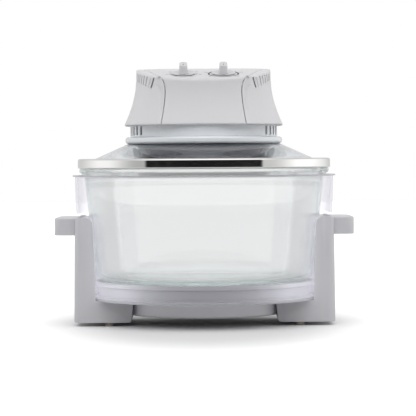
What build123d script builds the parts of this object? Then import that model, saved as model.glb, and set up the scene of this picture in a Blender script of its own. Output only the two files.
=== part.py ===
"""Halogen oven: a glass bowl in a clear shell between two white legs, under a lid with a power head.

Millimetres, +Z up, the front towards -Y. The origin is on the floor, at the middle of the oven.
"""

from build123d import *
from math import atan, copysign, cos, degrees, hypot, radians, sin, tan
import os

os.makedirs("parts", exist_ok=True)

# ---- Fits ----
seat_gap = 0.3  # between separate mouldings that sit together
run_gap = 0.05  # radial, a shaft in its bush
screw_gap = 0.1  # radial, a screw in its hole

# ---- Heights of the base ----
foot_height = 4.5  # rubber foot below the leg
toe_thickness = 7.0
pan_depth = 19.5  # from the pan's underside to the shell's rim
tray_rise = 20.0  # from the shell's rim to the top of the tray
pad_thickness = 1.0
z_toe = foot_height
z_pan = z_toe + toe_thickness
z_rim = z_pan + pan_depth
z_tray = z_rim + tray_rise
z_seat = z_tray + pad_thickness

# ---- Glass bowl ----
bowl_height = 142.5
bowl_lip_r = 157.0
bowl_wall = 4.5
bowl_floor = 6.0
bowl_flare = 6.2  # the lip stands this far outside the wall
bowl_taper = 15.1  # the wall leans out this far from foot to lip
bowl_foot_radius = 13.0
lip_width = 6.0
z_lip = z_seat + bowl_height
bowl_top_r = bowl_lip_r - bowl_flare
bowl_foot_r = bowl_top_r - bowl_taper

# ---- Clear outer shell ----
shell_wall = 2.6
shell_air = 2.9  # between the bowl's lip and the shell
shell_flange = 5.5
flange_thickness = 2.0
flange_drop = 7.8  # from the bowl's lip to the top of the flange
shelf_drop = 51.2  # from the top of the flange to the underside of the shelf
shelf_width = 12.3
shell_draft = 1.2
lower_draft = 5.5
rim_bead = 0.7
z_flange = z_lip - flange_drop
z_shelf = z_flange - shelf_drop
shell_top_r = bowl_lip_r + shell_air + shell_wall
shell_flange_r = shell_top_r + shell_flange - shell_wall
shelf_outer_r = shell_top_r - shell_draft
shelf_inner_r = shelf_outer_r - shelf_width
rim_r = shelf_inner_r - lower_draft

# ---- Tray and pan ----
tray_wall = 3.0
tray_lip = 3.0
pan_r = 100.0
pan_wall = 2.6
pan_flange = 12.0
tray_flange_r = rim_r - shell_wall - seat_gap
tray_r = tray_flange_r - 7.6
tray_lip_r = tray_r + 4.0

# ---- Legs ----
leg_half_depth = 58.0
leg_wall = 3.0
leg_corner = 11.0
leg_inset = 3.5  # the leg's foot stands this far inside the shell's flange edge
leg_draft = 1.9
toe_x = 88.0
toe_slant = 3.0
column_inner_x = 135.0
column_drop = 1.5  # rib height between the column's top and the shell's shelf
lug_reach = 26.1
lug_height = 21.5
lug_half_depth = 50.0
lug_corner = 13.0
lug_wall = 3.0
foot_pad_r = 5.5
foot_pad_x = 118.6
foot_pad_y = 48.0
leg_foot_x = shell_flange_r - leg_inset
leg_top_x = leg_foot_x - leg_draft
lug_x = leg_top_x + lug_reach
z_column = z_shelf - column_drop

# ---- Lid: glass, steel rim and gasket ----
rim_sheet = 0.8
rim_overhang = 1.8  # outside the bowl's lip
band_height = 12.2
glass_thickness = 4.0
glass_ledge = 20.3  # flat band of glass at the edge
glass_slope = 0.4506  # rise of the cone for each millimetre inwards
glass_hole_r = 89.5
band_r = bowl_lip_r + rim_overhang
z_band = z_lip + seat_gap
z_glass = z_band + band_height - rim_sheet
cone_foot_r = band_r - glass_ledge

# ---- Ring, vent collar and lower housing ----
ring_r = 98.7
ring_height = 9.1
ring_lift = 0.8
ledge_thickness = 1.8
ledge_width = 6.7
collar_r = 92.3
collar_wall = 2.5
collar_height = 16.5
slot_width = 2.6
slot_height = 10.5
slots_per_side = 11
slot_pitch = 6.6  # degrees
housing_r = 87.0
housing_step = 8.0
housing_sheet = 1.0
housing_depth = 28.0

# ---- Head covers ----
skirt_height = 53.7
cap_half_width = 84.3
cap_side_gap = 3.0  # the head is this much shallower than wide, each side
skirt_swell = 15.0
swell_power = 1.73
plan_power = 2.5
plan_points = 4  # spans of each corner
cover_wall = 2.6
seam = 0.6
crest_rise = 71.4  # from the skirt's lower edge to the crest
crest_y = -14.0
crown = 2.0
panel_tilt = 13.0  # degrees
back_fall = 1.4  # degrees
boss_r = 3.5

# ---- Carry handle ----
bail_thickness = 5.8
bail_height = 14.4
bail_gap = 0.7  # behind the folded handle
pivot_r = 3.0
pivot_length = 12.5

# ---- Knobs ----
knob_x = 24.8
knob_y = -52.0
knob_r = 15.0
knob_base = 1.6
knob_lift = 0.5
blade_width = 9.4
blade_length = 28.0
blade_height = 11.0
spindle_r = 3.0
switch_body = 38.0
switch_depth = 22.0

# ---- Motor, fans and lamp ----
shaft_r = 3.0
rotor_r = 13.0
rotor_gap = 0.35
stator_size = 50.0
stator_height = 24.0
hot_fan_r = 42.0
cool_fan_r = 31.0
lamp_ring_r = 52.0
lamp_tube_r = 5.0
plate_sheet = 1.2
insulation_r = 60.0


def outline(*points, radii=0):
    """Closed face in the XZ plane through (r, z) points, with rounded corners."""
    return Plane.XZ * make_face(FilletPolyline(*points, radius=radii, close=True))


def turned(*points, radii=0):
    """Solid of revolution about Z through (r, z) points, with rounded corners."""
    return revolve(outline(*points, radii=radii), Axis.Z)


def tube(outer, inner, low, high):
    """Straight round tube about Z between two heights."""
    return turned((inner, low), (outer, low), (outer, high), (inner, high))


def disc(radius, low, high, x=0, y=0):
    """Solid cylinder between two heights."""
    return Pos(x, y, (low + high) / 2) * Cylinder(radius, high - low)


def block(x0, x1, y0, y1, z0, z1):
    """Box from one corner to the other."""
    return Pos((x0 + x1) / 2, (y0 + y1) / 2, (z0 + z1) / 2) * Box(x1 - x0, y1 - y0, z1 - z0)


def around(radius, count, start=0.0):
    """Points evenly spaced on a circle."""
    angles = [radians(start + 360 * i / count) for i in range(count)]
    return [(radius * cos(a), radius * sin(a)) for a in angles]


def joined(shapes):
    """Several separate solids as one part."""
    return Compound(children=[Part(s.wrapped) if not isinstance(s, Part) else s for s in shapes])


def mirrored(shape):
    """The same piece on the other side of the oven."""
    return mirror(shape, about=Plane.YZ)


pieces = {}

# ---- Glass bowl ----
bowl_inner_floor = z_seat + bowl_floor
bowl_neck = z_lip - 9.0
pieces["glass_bowl"] = turned(
    (0, z_seat),
    (bowl_foot_r, z_seat),
    (bowl_top_r, bowl_neck),
    (bowl_lip_r, z_lip - 4.0),
    (bowl_lip_r, z_lip),
    (bowl_lip_r - lip_width, z_lip),
    (bowl_top_r - bowl_wall, bowl_neck - 1.0),
    (bowl_foot_r - bowl_wall, bowl_inner_floor),
    (0, bowl_inner_floor),
    radii=[0, bowl_foot_radius, 6, 2.5, 1, 1.5, 8, bowl_foot_radius - bowl_wall, 0],
)

# ---- Clear outer shell: flange, upper wall, shelf on the legs, lower wall, beaded rim ----
shell_inner_top = shell_top_r - shell_wall
pieces["outer_shell"] = turned(
    (rim_r + rim_bead, z_rim),
    (rim_r + rim_bead, z_rim + 2.4),
    (rim_r + 0.2, z_rim + 3.2),
    (shelf_inner_r, z_shelf),
    (shelf_outer_r, z_shelf),
    (shell_top_r, z_flange - flange_thickness),
    (shell_flange_r, z_flange - flange_thickness),
    (shell_flange_r, z_flange),
    (shell_inner_top, z_flange),
    (shelf_outer_r - shell_wall, z_shelf + shell_wall),
    (shelf_inner_r - shell_wall, z_shelf + shell_wall),
    (rim_r - shell_wall, z_rim),
    radii=[0.5, 0.5, 0.3, 2.0, 4.0, 0.4, 0.6, 0.6, 0.8, 1.4, 4.6, 0.4],
)

# ---- Tray that carries the bowl, the pan below it and the pads under the glass ----
z_tray_under = z_tray - tray_wall
z_flange_top = z_rim + tray_wall
pieces["base_tray"] = turned(
    (0, z_tray),
    (tray_r - 0.5, z_tray),
    (tray_r + 0.5, z_tray + tray_lip),
    (tray_lip_r, z_tray + tray_lip),
    (tray_lip_r, z_tray - 2.5),
    (tray_r, z_tray - 3.5),
    (tray_r, z_flange_top + 2.0),
    (tray_flange_r, z_flange_top),
    (tray_flange_r, z_rim),
    (pan_r + seat_gap, z_rim),
    (pan_r + seat_gap, z_flange_top),
    (tray_r - tray_wall, z_flange_top),
    (tray_r - tray_wall, z_tray_under),
    (0, z_tray_under),
    radii=[0, 0.4, 0.4, 1.6, 1.6, 0.5, 1.0, 0.5, 0.4, 0.4, 0.4, 0.8, 1.0, 0],
)
pan_bolt_r = pan_r + pan_flange / 2
pan_bolts = [(x, y) for x, y in around(pan_bolt_r, 6, start=30) if abs(x) < toe_x * 0.3]
leg_bolt_x = (pan_r + seat_gap + foot_pad_x) / 2 + 9.0
leg_bolts = [(side * leg_bolt_x, y) for side in (-1, 1) for y in (-18.0, 18.0)]
for x, y in pan_bolts + leg_bolts:
    pieces["base_tray"] -= disc(2.0 + screw_gap, z_rim - 1, z_flange_top + 1, x, y)
pieces["base_pan"] = turned(
    (0, z_pan),
    (pan_r, z_pan),
    (pan_r, z_flange_top),
    (pan_r + pan_flange, z_flange_top),
    (pan_r + pan_flange, z_flange_top + 2.5),
    (pan_r - pan_wall, z_flange_top + 2.5),
    (pan_r - pan_wall, z_pan + pan_wall),
    (0, z_pan + pan_wall),
    radii=[0, 3.0, 0.3, 0.6, 0.6, 0.6, 1.5, 0],
)
for x, y in pan_bolts:
    pieces["base_pan"] -= disc(2.0 + screw_gap, z_flange_top - 1, z_flange_top + 4, x, y)
pieces["seat_pads"] = joined([disc(10.0, z_tray, z_seat, x, y) for x, y in around(98.0, 6)])


def pan_screw(x, y, top, under):
    """Flanged screw with its head below and its shank up through two flanges."""
    return disc(3.8, under - 2.4, under, x, y) + disc(2.0, under - 0.1, top, x, y)


pieces["pan_screws"] = joined([pan_screw(x, y, z_flange_top + 2.4, z_rim) for x, y in pan_bolts])

# ---- Legs: column, foot and handle lug in one moulding, hollow from below ----
shell_room = turned(
    (0, z_rim),
    (rim_r + rim_bead + seat_gap, z_rim),
    (rim_r + rim_bead + seat_gap, z_rim + 4.0),
    (shelf_inner_r + seat_gap, z_shelf),
    (shelf_inner_r + seat_gap, z_shelf + 20),
    (0, z_shelf + 20),
)
shell_room_inside = turned(
    (0, z_rim - leg_wall),
    (rim_r + rim_bead + leg_wall, z_rim - leg_wall),
    (shelf_inner_r + leg_wall, z_shelf),
    (0, z_shelf),
)
column_face = outline(
    (column_inner_x, z_rim),
    (toe_x, z_rim),
    (toe_x + toe_slant, z_toe),
    (leg_foot_x, z_toe),
    (leg_top_x, z_column),
    (column_inner_x + 3.0, z_column),
    radii=[0, 0, 4.0, 1.5, 2.0, 9.0],
)
leg = extrude(column_face, leg_half_depth, both=True)
corner_tool = block(leg_foot_x - leg_corner, leg_foot_x + 5, -leg_half_depth - 1, leg_half_depth + 1, 0, 400)
corner_tool -= extrude(
    RectangleRounded(2 * leg_foot_x, 2 * leg_half_depth, leg_corner), 400
)
leg -= corner_tool
lug_plan = Pos((lug_x + leg_top_x - 30) / 2, 0, z_column - lug_height) * RectangleRounded(
    lug_x - leg_top_x + 30, 2 * lug_half_depth, lug_corner
)
lug = extrude(lug_plan, lug_height) & block(leg_top_x - 6, lug_x + 1, -80, 80, 0, 400)
lug_top = lug.edges().filter_by(lambda e: e.center().Z > z_column - 0.01 and e.center().X > leg_top_x - 5)
lug = fillet(lug_top, 2.0)
leg += lug
leg -= shell_room
leg -= disc(pan_r + seat_gap, z_pan, z_rim + 1)
lug_pocket = block(leg_top_x + lug_wall, lug_x - lug_wall, -lug_half_depth + 4, lug_half_depth - 4,
                   z_column - lug_height - 1, z_column - lug_wall - 0.5)
lug_pocket = fillet(lug_pocket.edges().filter_by(Axis.Z).sort_by(Axis.X)[2:], lug_corner - 4)
leg -= lug_pocket
foot_pocket = block(pan_r + 4 + seat_gap, leg_top_x - leg_wall, -leg_half_depth + leg_wall,
                    leg_half_depth - leg_wall, z_toe - 1, z_rim - leg_wall)
column_pocket = block(shelf_inner_r + leg_wall + seat_gap, leg_top_x - leg_wall,
                      -leg_half_depth + leg_corner, leg_half_depth - leg_corner,
                      z_toe - 1, z_column - leg_wall)
foot_posts = [disc(8.0, z_toe, z_rim - 1, foot_pad_x, y) for y in (-foot_pad_y, foot_pad_y)]
pocket = foot_pocket + (column_pocket - shell_room_inside)
for post in foot_posts:
    pocket -= post
leg -= pocket
for y in (-foot_pad_y, foot_pad_y):
    leg -= disc(3.0 + seat_gap, z_toe - 1, z_toe + 8.0, foot_pad_x, y)
for x, y in leg_bolts[2:]:
    leg -= disc(2.0 + screw_gap, z_rim - leg_wall - 1, z_rim + 1, x, y)
shelf_rib = block(shelf_inner_r + 2.5, shelf_outer_r - 4.5, -36, 36, z_column, z_shelf)
leg += shelf_rib
pieces["right_leg"] = leg
pieces["left_leg"] = mirrored(leg)
pieces["leg_screws"] = joined(
    [pan_screw(x, y, z_flange_top - 0.2, z_rim - leg_wall) for x, y in leg_bolts]
)


def foot_pad(x, y):
    """Rubber foot with a stem pushed up into the leg."""
    sole = fillet(disc(foot_pad_r, 0, z_toe, x, y).edges().group_by(Axis.Z)[0], 0.8)
    return sole + disc(3.0, z_toe - 0.1, z_toe + 7.5, x, y)


pieces["rubber_feet"] = joined(
    [foot_pad(sx * foot_pad_x, sy * foot_pad_y) for sx in (-1, 1) for sy in (-1, 1)]
)


# ---- Lid glass, its steel rim and the gasket that meets the bowl ----
def cone_z(radius):
    """Height of the glass cone's outer face."""
    return z_glass + (cone_foot_r - radius) * glass_slope


glass_drop = glass_thickness * hypot(1, glass_slope)
inner_foot_r = cone_foot_r - (glass_drop - glass_thickness) / glass_slope
band_inner = band_r - rim_sheet
glass_r = band_inner - 0.6
z_glass_under = z_glass - glass_thickness
pieces["lid_glass"] = turned(
    (glass_hole_r, cone_z(glass_hole_r)),
    (glass_hole_r, cone_z(glass_hole_r) - glass_drop),
    (inner_foot_r, z_glass_under),
    (glass_r, z_glass_under),
    (glass_r, z_glass),
    (cone_foot_r, z_glass),
    radii=[0.8, 0.8, 14, 1.0, 1.0, 14],
)
band_lip_r = band_r - 5.5
pieces["lid_rim"] = turned(
    (band_lip_r, z_glass + 0.05),
    (band_inner, z_glass + 0.05),
    (band_inner, z_band + rim_sheet),
    (band_inner - 3.0, z_band + rim_sheet),
    (band_inner - 3.0, z_band),
    (band_r, z_band),
    (band_r, z_band + band_height),
    (band_lip_r, z_band + band_height),
    radii=[0.2, 0.9, 0.9, 0.2, 0.2, 1.7, 1.7, 0.2],
)
gasket_r = band_inner - 3.4
pieces["lid_gasket"] = turned(
    (gasket_r - 6.0, z_lip),
    (gasket_r, z_lip),
    (gasket_r, z_band + rim_sheet + 0.3),
    (band_inner - 0.4, z_band + rim_sheet + 0.3),
    (band_inner - 0.4, z_glass_under),
    (gasket_r - 6.0, z_glass_under),
    radii=[1.0, 1.0, 0, 0.8, 0.6, 0.6],
)

# ---- Ring that clamps the glass, its seal, and the steel plate that carries the motor ----
ring_top = cone_z(ring_r) + ring_lift + ring_height
z_ledge = cone_z(glass_hole_r) + ring_lift + 0.1
z_plate = z_ledge + ledge_thickness
ledge_r = collar_r - collar_wall + 0.1
pieces["clamp_ring"] = turned(
    (ring_r, cone_z(ring_r) + ring_lift),
    (ring_r, ring_top),
    (ledge_r, ring_top),
    (ledge_r, z_plate),
    (ledge_r - ledge_width, z_plate),
    (ledge_r - ledge_width, z_ledge),
    (glass_hole_r - 0.2, z_ledge),
    radii=[2.4, 3.4, 0.3, 0.3, 0.4, 0.4, 0.3],
)
seal_in, seal_out = glass_hole_r + 1.0, ring_r - 2.8
pieces["ring_seal"] = turned(
    (seal_in, cone_z(seal_in) + 0.1),
    (seal_out, cone_z(seal_out) + 0.1),
    (seal_out, cone_z(seal_out) + ring_lift - 0.1),
    (seal_in, cone_z(seal_in) + ring_lift - 0.1),
)
plate_r = ledge_r - 0.3
z_plate_top = z_plate + plate_sheet
centre_bosses = [(0.0, -66.0), (-32.0, 57.0), (32.0, 57.0)]
shoulder_boss_x, shoulder_boss_y = housing_r - 15.0, 30.0
shoulder_bosses = [(sx * shoulder_boss_x, sy * shoulder_boss_y) for sx in (-1, 1) for sy in (-1, 1)]
housing_bolts = around(50.0, 3, start=90)
plate = disc(plate_r, z_plate, z_plate_top) - disc(shaft_r + 3.0, z_plate - 1, z_plate_top + 1)
for x, y in centre_bosses + shoulder_bosses + housing_bolts:
    plate -= disc(2.0 + screw_gap, z_plate - 1, z_plate_top + 1, x, y)
for x, y in around(22.0, 8, start=22.5):
    plate -= disc(4.0, z_plate - 1, z_plate_top + 1, x, y)
pieces["motor_plate"] = plate

# ---- Vent collar, with upright slots at both sides ----
z_collar = ring_top
z_skirt = z_collar + 14.6
collar = tube(collar_r, collar_r - collar_wall, z_collar, z_collar + collar_height)
slot_low = z_collar + 2.2
slot = block(collar_r - 6, collar_r + 6, -slot_width / 2, slot_width / 2, slot_low, slot_low + slot_height)
slot_angles = [(index - (slots_per_side - 1) / 2) * slot_pitch for index in range(slots_per_side)]
pieces["vent_collar"] = collar - [
    Rot(0, 0, side + angle) * slot for side in (0, 180) for angle in slot_angles
]

# ---- Steel lower housing with its flange under the glass, lamp, clips and guard ----
z_housing_top = cone_z(glass_hole_r) - glass_drop + 1.1
z_housing = z_housing_top - housing_depth
mouth_r = housing_r - housing_step


def flange_z(radius):
    """Top of the housing's flange, just under the glass."""
    return cone_z(radius) - glass_drop - seat_gap


flange_out = housing_r + 8.5
pieces["lamp_housing"] = turned(
    (shaft_r + 2.5, z_housing_top),
    (housing_r - 0.5, z_housing_top),
    (housing_r + 1.0, flange_z(housing_r + 1.0)),
    (flange_out, flange_z(flange_out)),
    (flange_out, flange_z(flange_out) - 0.9),
    (housing_r, flange_z(housing_r) - 1.0),
    (housing_r, z_housing + 15.5),
    (mouth_r, z_housing + 8.5),
    (mouth_r, z_housing),
    (mouth_r - housing_sheet, z_housing),
    (mouth_r - housing_sheet, z_housing + 8.0),
    (housing_r - housing_sheet, z_housing + 15.0),
    (housing_r - housing_sheet, z_housing_top - housing_sheet),
    (shaft_r + 2.5, z_housing_top - housing_sheet),
    radii=[0, 0.5, 0.4, 0.3, 0.2, 0.2, 6, 5, 0.2, 0.2, 4, 7, 2, 0],
)
for x, y in housing_bolts:
    pieces["lamp_housing"] -= disc(2.0 + screw_gap, z_housing_top - 3, z_housing_top + 1, x, y)
guard_r = mouth_r - housing_sheet - 0.2
guard = disc(guard_r, z_housing + 0.2, z_housing + 1.2)
guard_hole = 3.4
guard_holes = []
for ring_radius, holes in ((14.0, 8), (25.0, 14), (36.0, 20), (47.0, 26), (58.0, 32), (69.0, 38)):
    guard_holes += [
        disc(guard_hole, z_housing - 1, z_housing + 3, x, y) for x, y in around(ring_radius, holes)
    ]
pieces["lamp_guard"] = guard - guard_holes
z_lamp = z_housing + 9.0
z_plate_under = z_housing_top - housing_sheet
lamp_gap = 15.0  # degrees from the X axis to each end of the tube
pieces["halogen_lamp"] = (
    Rot(0, 0, lamp_gap)
    * (Pos(0, 0, z_lamp) * Torus(lamp_ring_r, lamp_tube_r, major_angle=360 - 2 * lamp_gap))
)
holder = block(lamp_ring_r - 7, lamp_ring_r + 7, -4, 4, z_lamp - 7, z_plate_under)
pieces["lamp_holders"] = joined([Rot(0, 0, sign * (lamp_gap - 5.2)) * holder for sign in (-1, 1)])
clip_r = lamp_ring_r + lamp_tube_r + 0.3
clip = block(clip_r, clip_r + 1.0, -4, 4, z_lamp - 6, z_plate_under)
clip += block(clip_r - 6, clip_r + 0.5, -4, 4, z_lamp - 7, z_lamp - 5.7)
clip += block(clip_r, clip_r + 8, -4, 4, z_plate_under - 1.0, z_plate_under)
pieces["lamp_clips"] = joined([Rot(0, 0, angle) * clip for angle in (90, 180, 270)])
pad_low, pad_high = z_housing_top + 0.3, z_plate - 0.4
insulation = disc(insulation_r, pad_low, pad_high) - disc(shaft_r + 5, pad_low - 1, pad_high + 1)
for x, y in housing_bolts:
    insulation -= disc(4.6, pad_low - 1, pad_high + 1, x, y)
pieces["insulation_pad"] = insulation
spacer = tube(4.2, 2.0 + screw_gap, z_housing_top, z_plate)
pieces["spacers"] = joined([Pos(x, y, 0) * spacer for x, y in housing_bolts])
pieces["housing_screws"] = joined(
    [pan_screw(x, y, z_plate_top + 3, z_plate_under) for x, y in housing_bolts]
)

# ---- Fan group: shaft, hot-air fan, cooling fan and rotor ----
z_bridge = z_collar + 15.5
bridge_sheet = 1.5
z_stator = z_bridge + bridge_sheet
z_stator_top = z_stator + stator_height
z_hot = z_plate_under - 5.0
pieces["motor_shaft"] = disc(shaft_r, z_hot - 9.0, z_stator_top + 6.0)


def fan(radius, hub_r, low, high, disc_at_top, blades, blade_sheet):
    """Radial fan: a hub, a thin disc and upright blades."""
    disc_low = high - 1.0 if disc_at_top else low
    wheel = disc(hub_r, low, high) + disc(radius, disc_low, disc_low + 1.0)
    blade = block(hub_r - 1, radius - 1, -blade_sheet / 2, blade_sheet / 2, low, high)
    for index in range(blades):
        wheel += Rot(0, 0, 360 * index / blades) * blade
    return wheel - disc(shaft_r + 0.02, low - 1, high + 1)


pieces["hot_fan"] = fan(hot_fan_r, 7.0, z_hot - 8.0, z_hot + 1.0, True, 8, 1.0)
z_cool = z_plate_top + 3.5
pieces["cooling_fan"] = fan(cool_fan_r, 7.0, z_cool, z_cool + 9.0, False, 9, 1.2)
pieces["motor_rotor"] = disc(rotor_r, z_stator + 2.5, z_stator_top - 2.5) - disc(
    shaft_r + 0.02, z_stator, z_stator_top
)

# ---- Motor: bracket, bushes, stator with its coil, upper bridge ----
bracket_half = 36.0
bracket = block(-9, 9, -bracket_half, bracket_half, z_bridge, z_stator)
for sign in (-1, 1):
    leg_y = sign * (bracket_half - bridge_sheet / 2)
    bracket += block(-9, 9, leg_y - bridge_sheet / 2, leg_y + bridge_sheet / 2, z_plate_top, z_stator)
    foot_y = sign * (bracket_half + 4.0)
    bracket += block(-9, 9, foot_y - 5.0, foot_y + 5.0, z_plate_top, z_plate_top + bridge_sheet)
bush_r = 6.0
bracket -= disc(bush_r + 0.02, z_bridge - 1, z_stator + 1)
pieces["motor_bracket"] = bracket
half = stator_size / 2
stator = block(-half, half, -half, half, z_stator, z_stator_top)
limb_x0, limb_x1 = half + 12.0, half + 20.0
stator += block(half - 1, limb_x1, -half, half, z_stator, z_stator_top)
stator -= block(half, limb_x0, -15, 15, z_stator - 1, z_stator_top + 1)
stator -= disc(rotor_r + rotor_gap, z_stator - 1, z_stator_top + 1)
pieces["motor_stator"] = stator
coil = block(limb_x0 - 4, limb_x1 + 4, -14, 14, z_stator - 4, z_stator_top + 4)
coil -= block(limb_x0 - 0.3, limb_x1 + 0.3, -30, 30, z_stator - 0.3, z_stator_top + 0.3)
pieces["motor_coil"] = fillet(coil.edges().filter_by(Axis.Y).sort_by(Axis.Z)[-2:], 2.0)
top_bridge = block(-9, 9, -half, half, z_stator_top, z_stator_top + bridge_sheet)
top_bridge -= disc(bush_r + 0.02, z_stator_top - 1, z_stator_top + 3)
pieces["bearing_bridge"] = top_bridge
bush = tube(bush_r, shaft_r + run_gap, 0, 4.0)
pieces["shaft_bushes"] = joined(
    [Pos(0, 0, z_stator - 3.0) * bush, Pos(0, 0, z_stator_top - 1.0) * bush]
)

# ---- Head covers ----
z_cap = z_skirt + skirt_height
z_crest = z_skirt + crest_rise
bail_low = z_cap + 1.3
pivot_z = bail_low + bail_height / 2
pivot_y = crest_y


def plan(half_width, z, inset=0.0):
    """Rounded-square section of the head at one height, made of four alike corners."""
    a = half_width - inset
    b = half_width - cap_side_gap - inset

    def at(angle):
        c, s = cos(radians(angle)), sin(radians(angle))
        x = 0.0 if abs(c) < 1e-9 else copysign(a * abs(c) ** (2 / plan_power), c)
        y = 0.0 if abs(s) < 1e-9 else copysign(b * abs(s) ** (2 / plan_power), s)
        return (x, y, z)

    stations = [at(90 * i / plan_points) for i in range(plan_points + 1)]
    corner = Spline(*stations, tangents=[(0, 1, 0), (-1, 0, 0)])
    back = corner + mirror(corner, about=Plane.YZ)
    return make_face(back + mirror(back, about=Plane.XZ))


def half_width_at(z):
    """Half-width of the flared skirt at a height."""
    drop = max(0.0, z_cap - z)
    return cap_half_width + 0.6 + skirt_swell * (drop / skirt_height) ** swell_power


def head_body(inset, low):
    """Full body of the head, below its sloped top, set in by a wall."""
    levels = [z_skirt + skirt_height * i / 4 for i in range(5)]
    sections = [plan(half_width_at(z), z, inset) for z in levels]
    sections += [plan(cap_half_width + 0.3, z_cap + 12, inset), plan(cap_half_width, z_cap + 40, inset)]
    if low < z_skirt:
        sections[0] = plan(half_width_at(z_skirt) + 0.6, low, inset)
    body = loft(sections)
    front = z_crest - inset - 200 * tan(radians(panel_tilt))
    back = z_crest - inset - 200 * tan(radians(back_fall))
    side = Plane.YZ * make_face(
        FilletPolyline(
            (crest_y - 200, 100), (crest_y + 200, 100), (crest_y + 200, back),
            (crest_y, z_crest - inset), (crest_y - 200, front),
            radius=[0, 0, 0, 40, 0], close=True,
        )
    )
    body &= extrude(side, 200, both=True)
    edge_z = z_crest - crown - inset
    arch = make_face(
        Polyline((-120, edge_z), (-120, 100), (120, 100), (120, edge_z))
        + ThreePointArc((-120, edge_z), (0, z_crest - inset + 0.8), (120, edge_z))
    )
    return body & extrude(Plane.XZ * arch, 200, both=True)


def bail_room(inset):
    """Space round the back of the cap that the folded handle lies in."""
    front = pivot_y - bail_height / 2 - 0.4 - inset
    outside = block(-150, 150, front, 150, bail_low - seat_gap - inset, 400)
    core = extrude(plan(cap_half_width - bail_thickness - bail_gap, bail_low - 10, inset), 100)
    return outside - core


def seam_half_width(grow):
    """Outline of the centre cover as seen from the front, from below the skirt to above the crest."""
    stations = [
        (52.9, -12.0), (52.3, -1.0), (49.5, 16.5), (47.5, 31.5), (47.2, 43.1),
        (48.5, 50.8), (52.1, 57.0), (60.0, 62.6), (68.0, 66.8), (76.0, 70.0), (88.0, 80.0),
    ]
    right = [(x + grow, z_skirt + z) for x, z in stations]
    left = [(-x, z) for x, z in reversed(right)]
    face = make_face(
        Spline(*right) + Line(right[-1], left[0]) + Spline(*left) + Line(left[-1], right[0])
    )
    return extrude(Plane.XZ * face, 200, both=True)


outer_body = head_body(0.0, z_skirt) - bail_room(0.0)
inner_body = head_body(cover_wall, z_skirt - 5) - bail_room(cover_wall)
head_shell = outer_body - inner_body
centre_cover = head_shell & seam_half_width(-seam / 2)
shoulders = head_shell - seam_half_width(seam / 2)
right_shoulder = max((shoulders & block(0, 200, -200, 200, 0, 500)).solids(), key=lambda s: s.volume)
right_shoulder = Part(right_shoulder.wrapped)
centre_cover = Part(max(centre_cover.solids(), key=lambda s: s.volume).wrapped)

# screw bosses
for x, y in centre_bosses:
    boss = disc(boss_r, z_plate_top, z_crest + 5, x, y) & outer_body
    low_boss = disc(boss_r, z_plate_top, z_skirt + 1, x, y)
    centre_cover = centre_cover + boss + low_boss - disc(1.6, z_plate_top - 1, z_plate_top + 14, x, y)
for sign in (-1, 1):
    x, y = shoulder_boss_x, sign * shoulder_boss_y
    web = block(x, x + 40, y - 1.2, y + 1.2, z_collar + collar_height + 1.5, z_cap - 4) & outer_body
    boss = disc(boss_r, z_plate_top, z_cap - 4, x, y)
    right_shoulder = right_shoulder + boss + web - disc(1.6, z_plate_top - 1, z_plate_top + 14, x, y)

# slanted vents in the front corner of each shoulder
vent_count = 8
vent_width = 1.6
vent_height = 11.0
vent_lean = 18.0
for index in range(vent_count):
    t = radians(-47.0 + 4.6 * index)
    a, b = cap_half_width, cap_half_width - cap_side_gap
    c, s = cos(t), sin(t)
    x = a * c ** (2 / plan_power)
    y = -b * abs(s) ** (2 / plan_power)
    nx, ny = (x / a) ** (plan_power - 1) / a, -(abs(y) / b) ** (plan_power - 1) / b
    z = z_skirt + 50.0 + 0.9 * index
    at = Plane(origin=(x, y, z), x_dir=(-ny, nx, 0), z_dir=(nx, ny, 0))
    right_shoulder -= at * (Rot(0, 0, vent_lean - 1.5 * index) * Box(vent_width, vent_height, 9))
pivot_hole = Rot(0, 90, 0) * Cylinder(pivot_r + screw_gap, 20)
right_shoulder -= Pos(cap_half_width - 8, pivot_y, pivot_z) * pivot_hole
pieces["left_shoulder"] = mirrored(right_shoulder)
pieces["right_shoulder"] = right_shoulder

# shelf for the handle's safety switch, inside the left shoulder
shelf_z = pivot_z - pivot_r - 11.0
switch_shelf = block(-120, -57, pivot_y - 10, pivot_y + 10, shelf_z - 2.5, shelf_z)
pieces["left_shoulder"] += switch_shelf & outer_body
pieces["safety_switch"] = block(-70, -59, pivot_y - 9, pivot_y + 9, shelf_z, shelf_z + 9.5)

# ---- Knobs, spindles, timer and thermostat, square to the sloped panel ----
knob_z = z_crest - (crest_y - knob_y) * tan(radians(panel_tilt))


def on_panel(side):
    """Plane on the sloped panel at one knob, its Z axis out of the panel."""
    tilt = radians(panel_tilt)
    return Plane(origin=(side * knob_x, knob_y, knob_z), x_dir=(1, 0, 0), z_dir=(0, -sin(tilt), cos(tilt)))


def knob():
    """Low round skirt with an upright blade grip, bored for its spindle."""
    skirt = fillet(disc(knob_r, knob_lift, knob_lift + knob_base).edges().group_by(Axis.Z)[-1], 1.0)
    top = knob_lift + knob_base + blade_height
    side = make_face(
        FilletPolyline(
            (-blade_width / 2 - 0.6, knob_lift + 1), (blade_width / 2 + 0.6, knob_lift + 1),
            (blade_width / 2, top), (-blade_width / 2, top), radius=[0, 0, 1.5, 1.5], close=True,
        )
    )
    grip = extrude(Plane.XZ * side, blade_length / 2, both=True)
    grip &= extrude(RectangleRounded(blade_width + 4, blade_length, 4.5), 30)
    return skirt + grip - disc(spindle_r + 0.02, -1, knob_lift + knob_base + 6)


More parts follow.
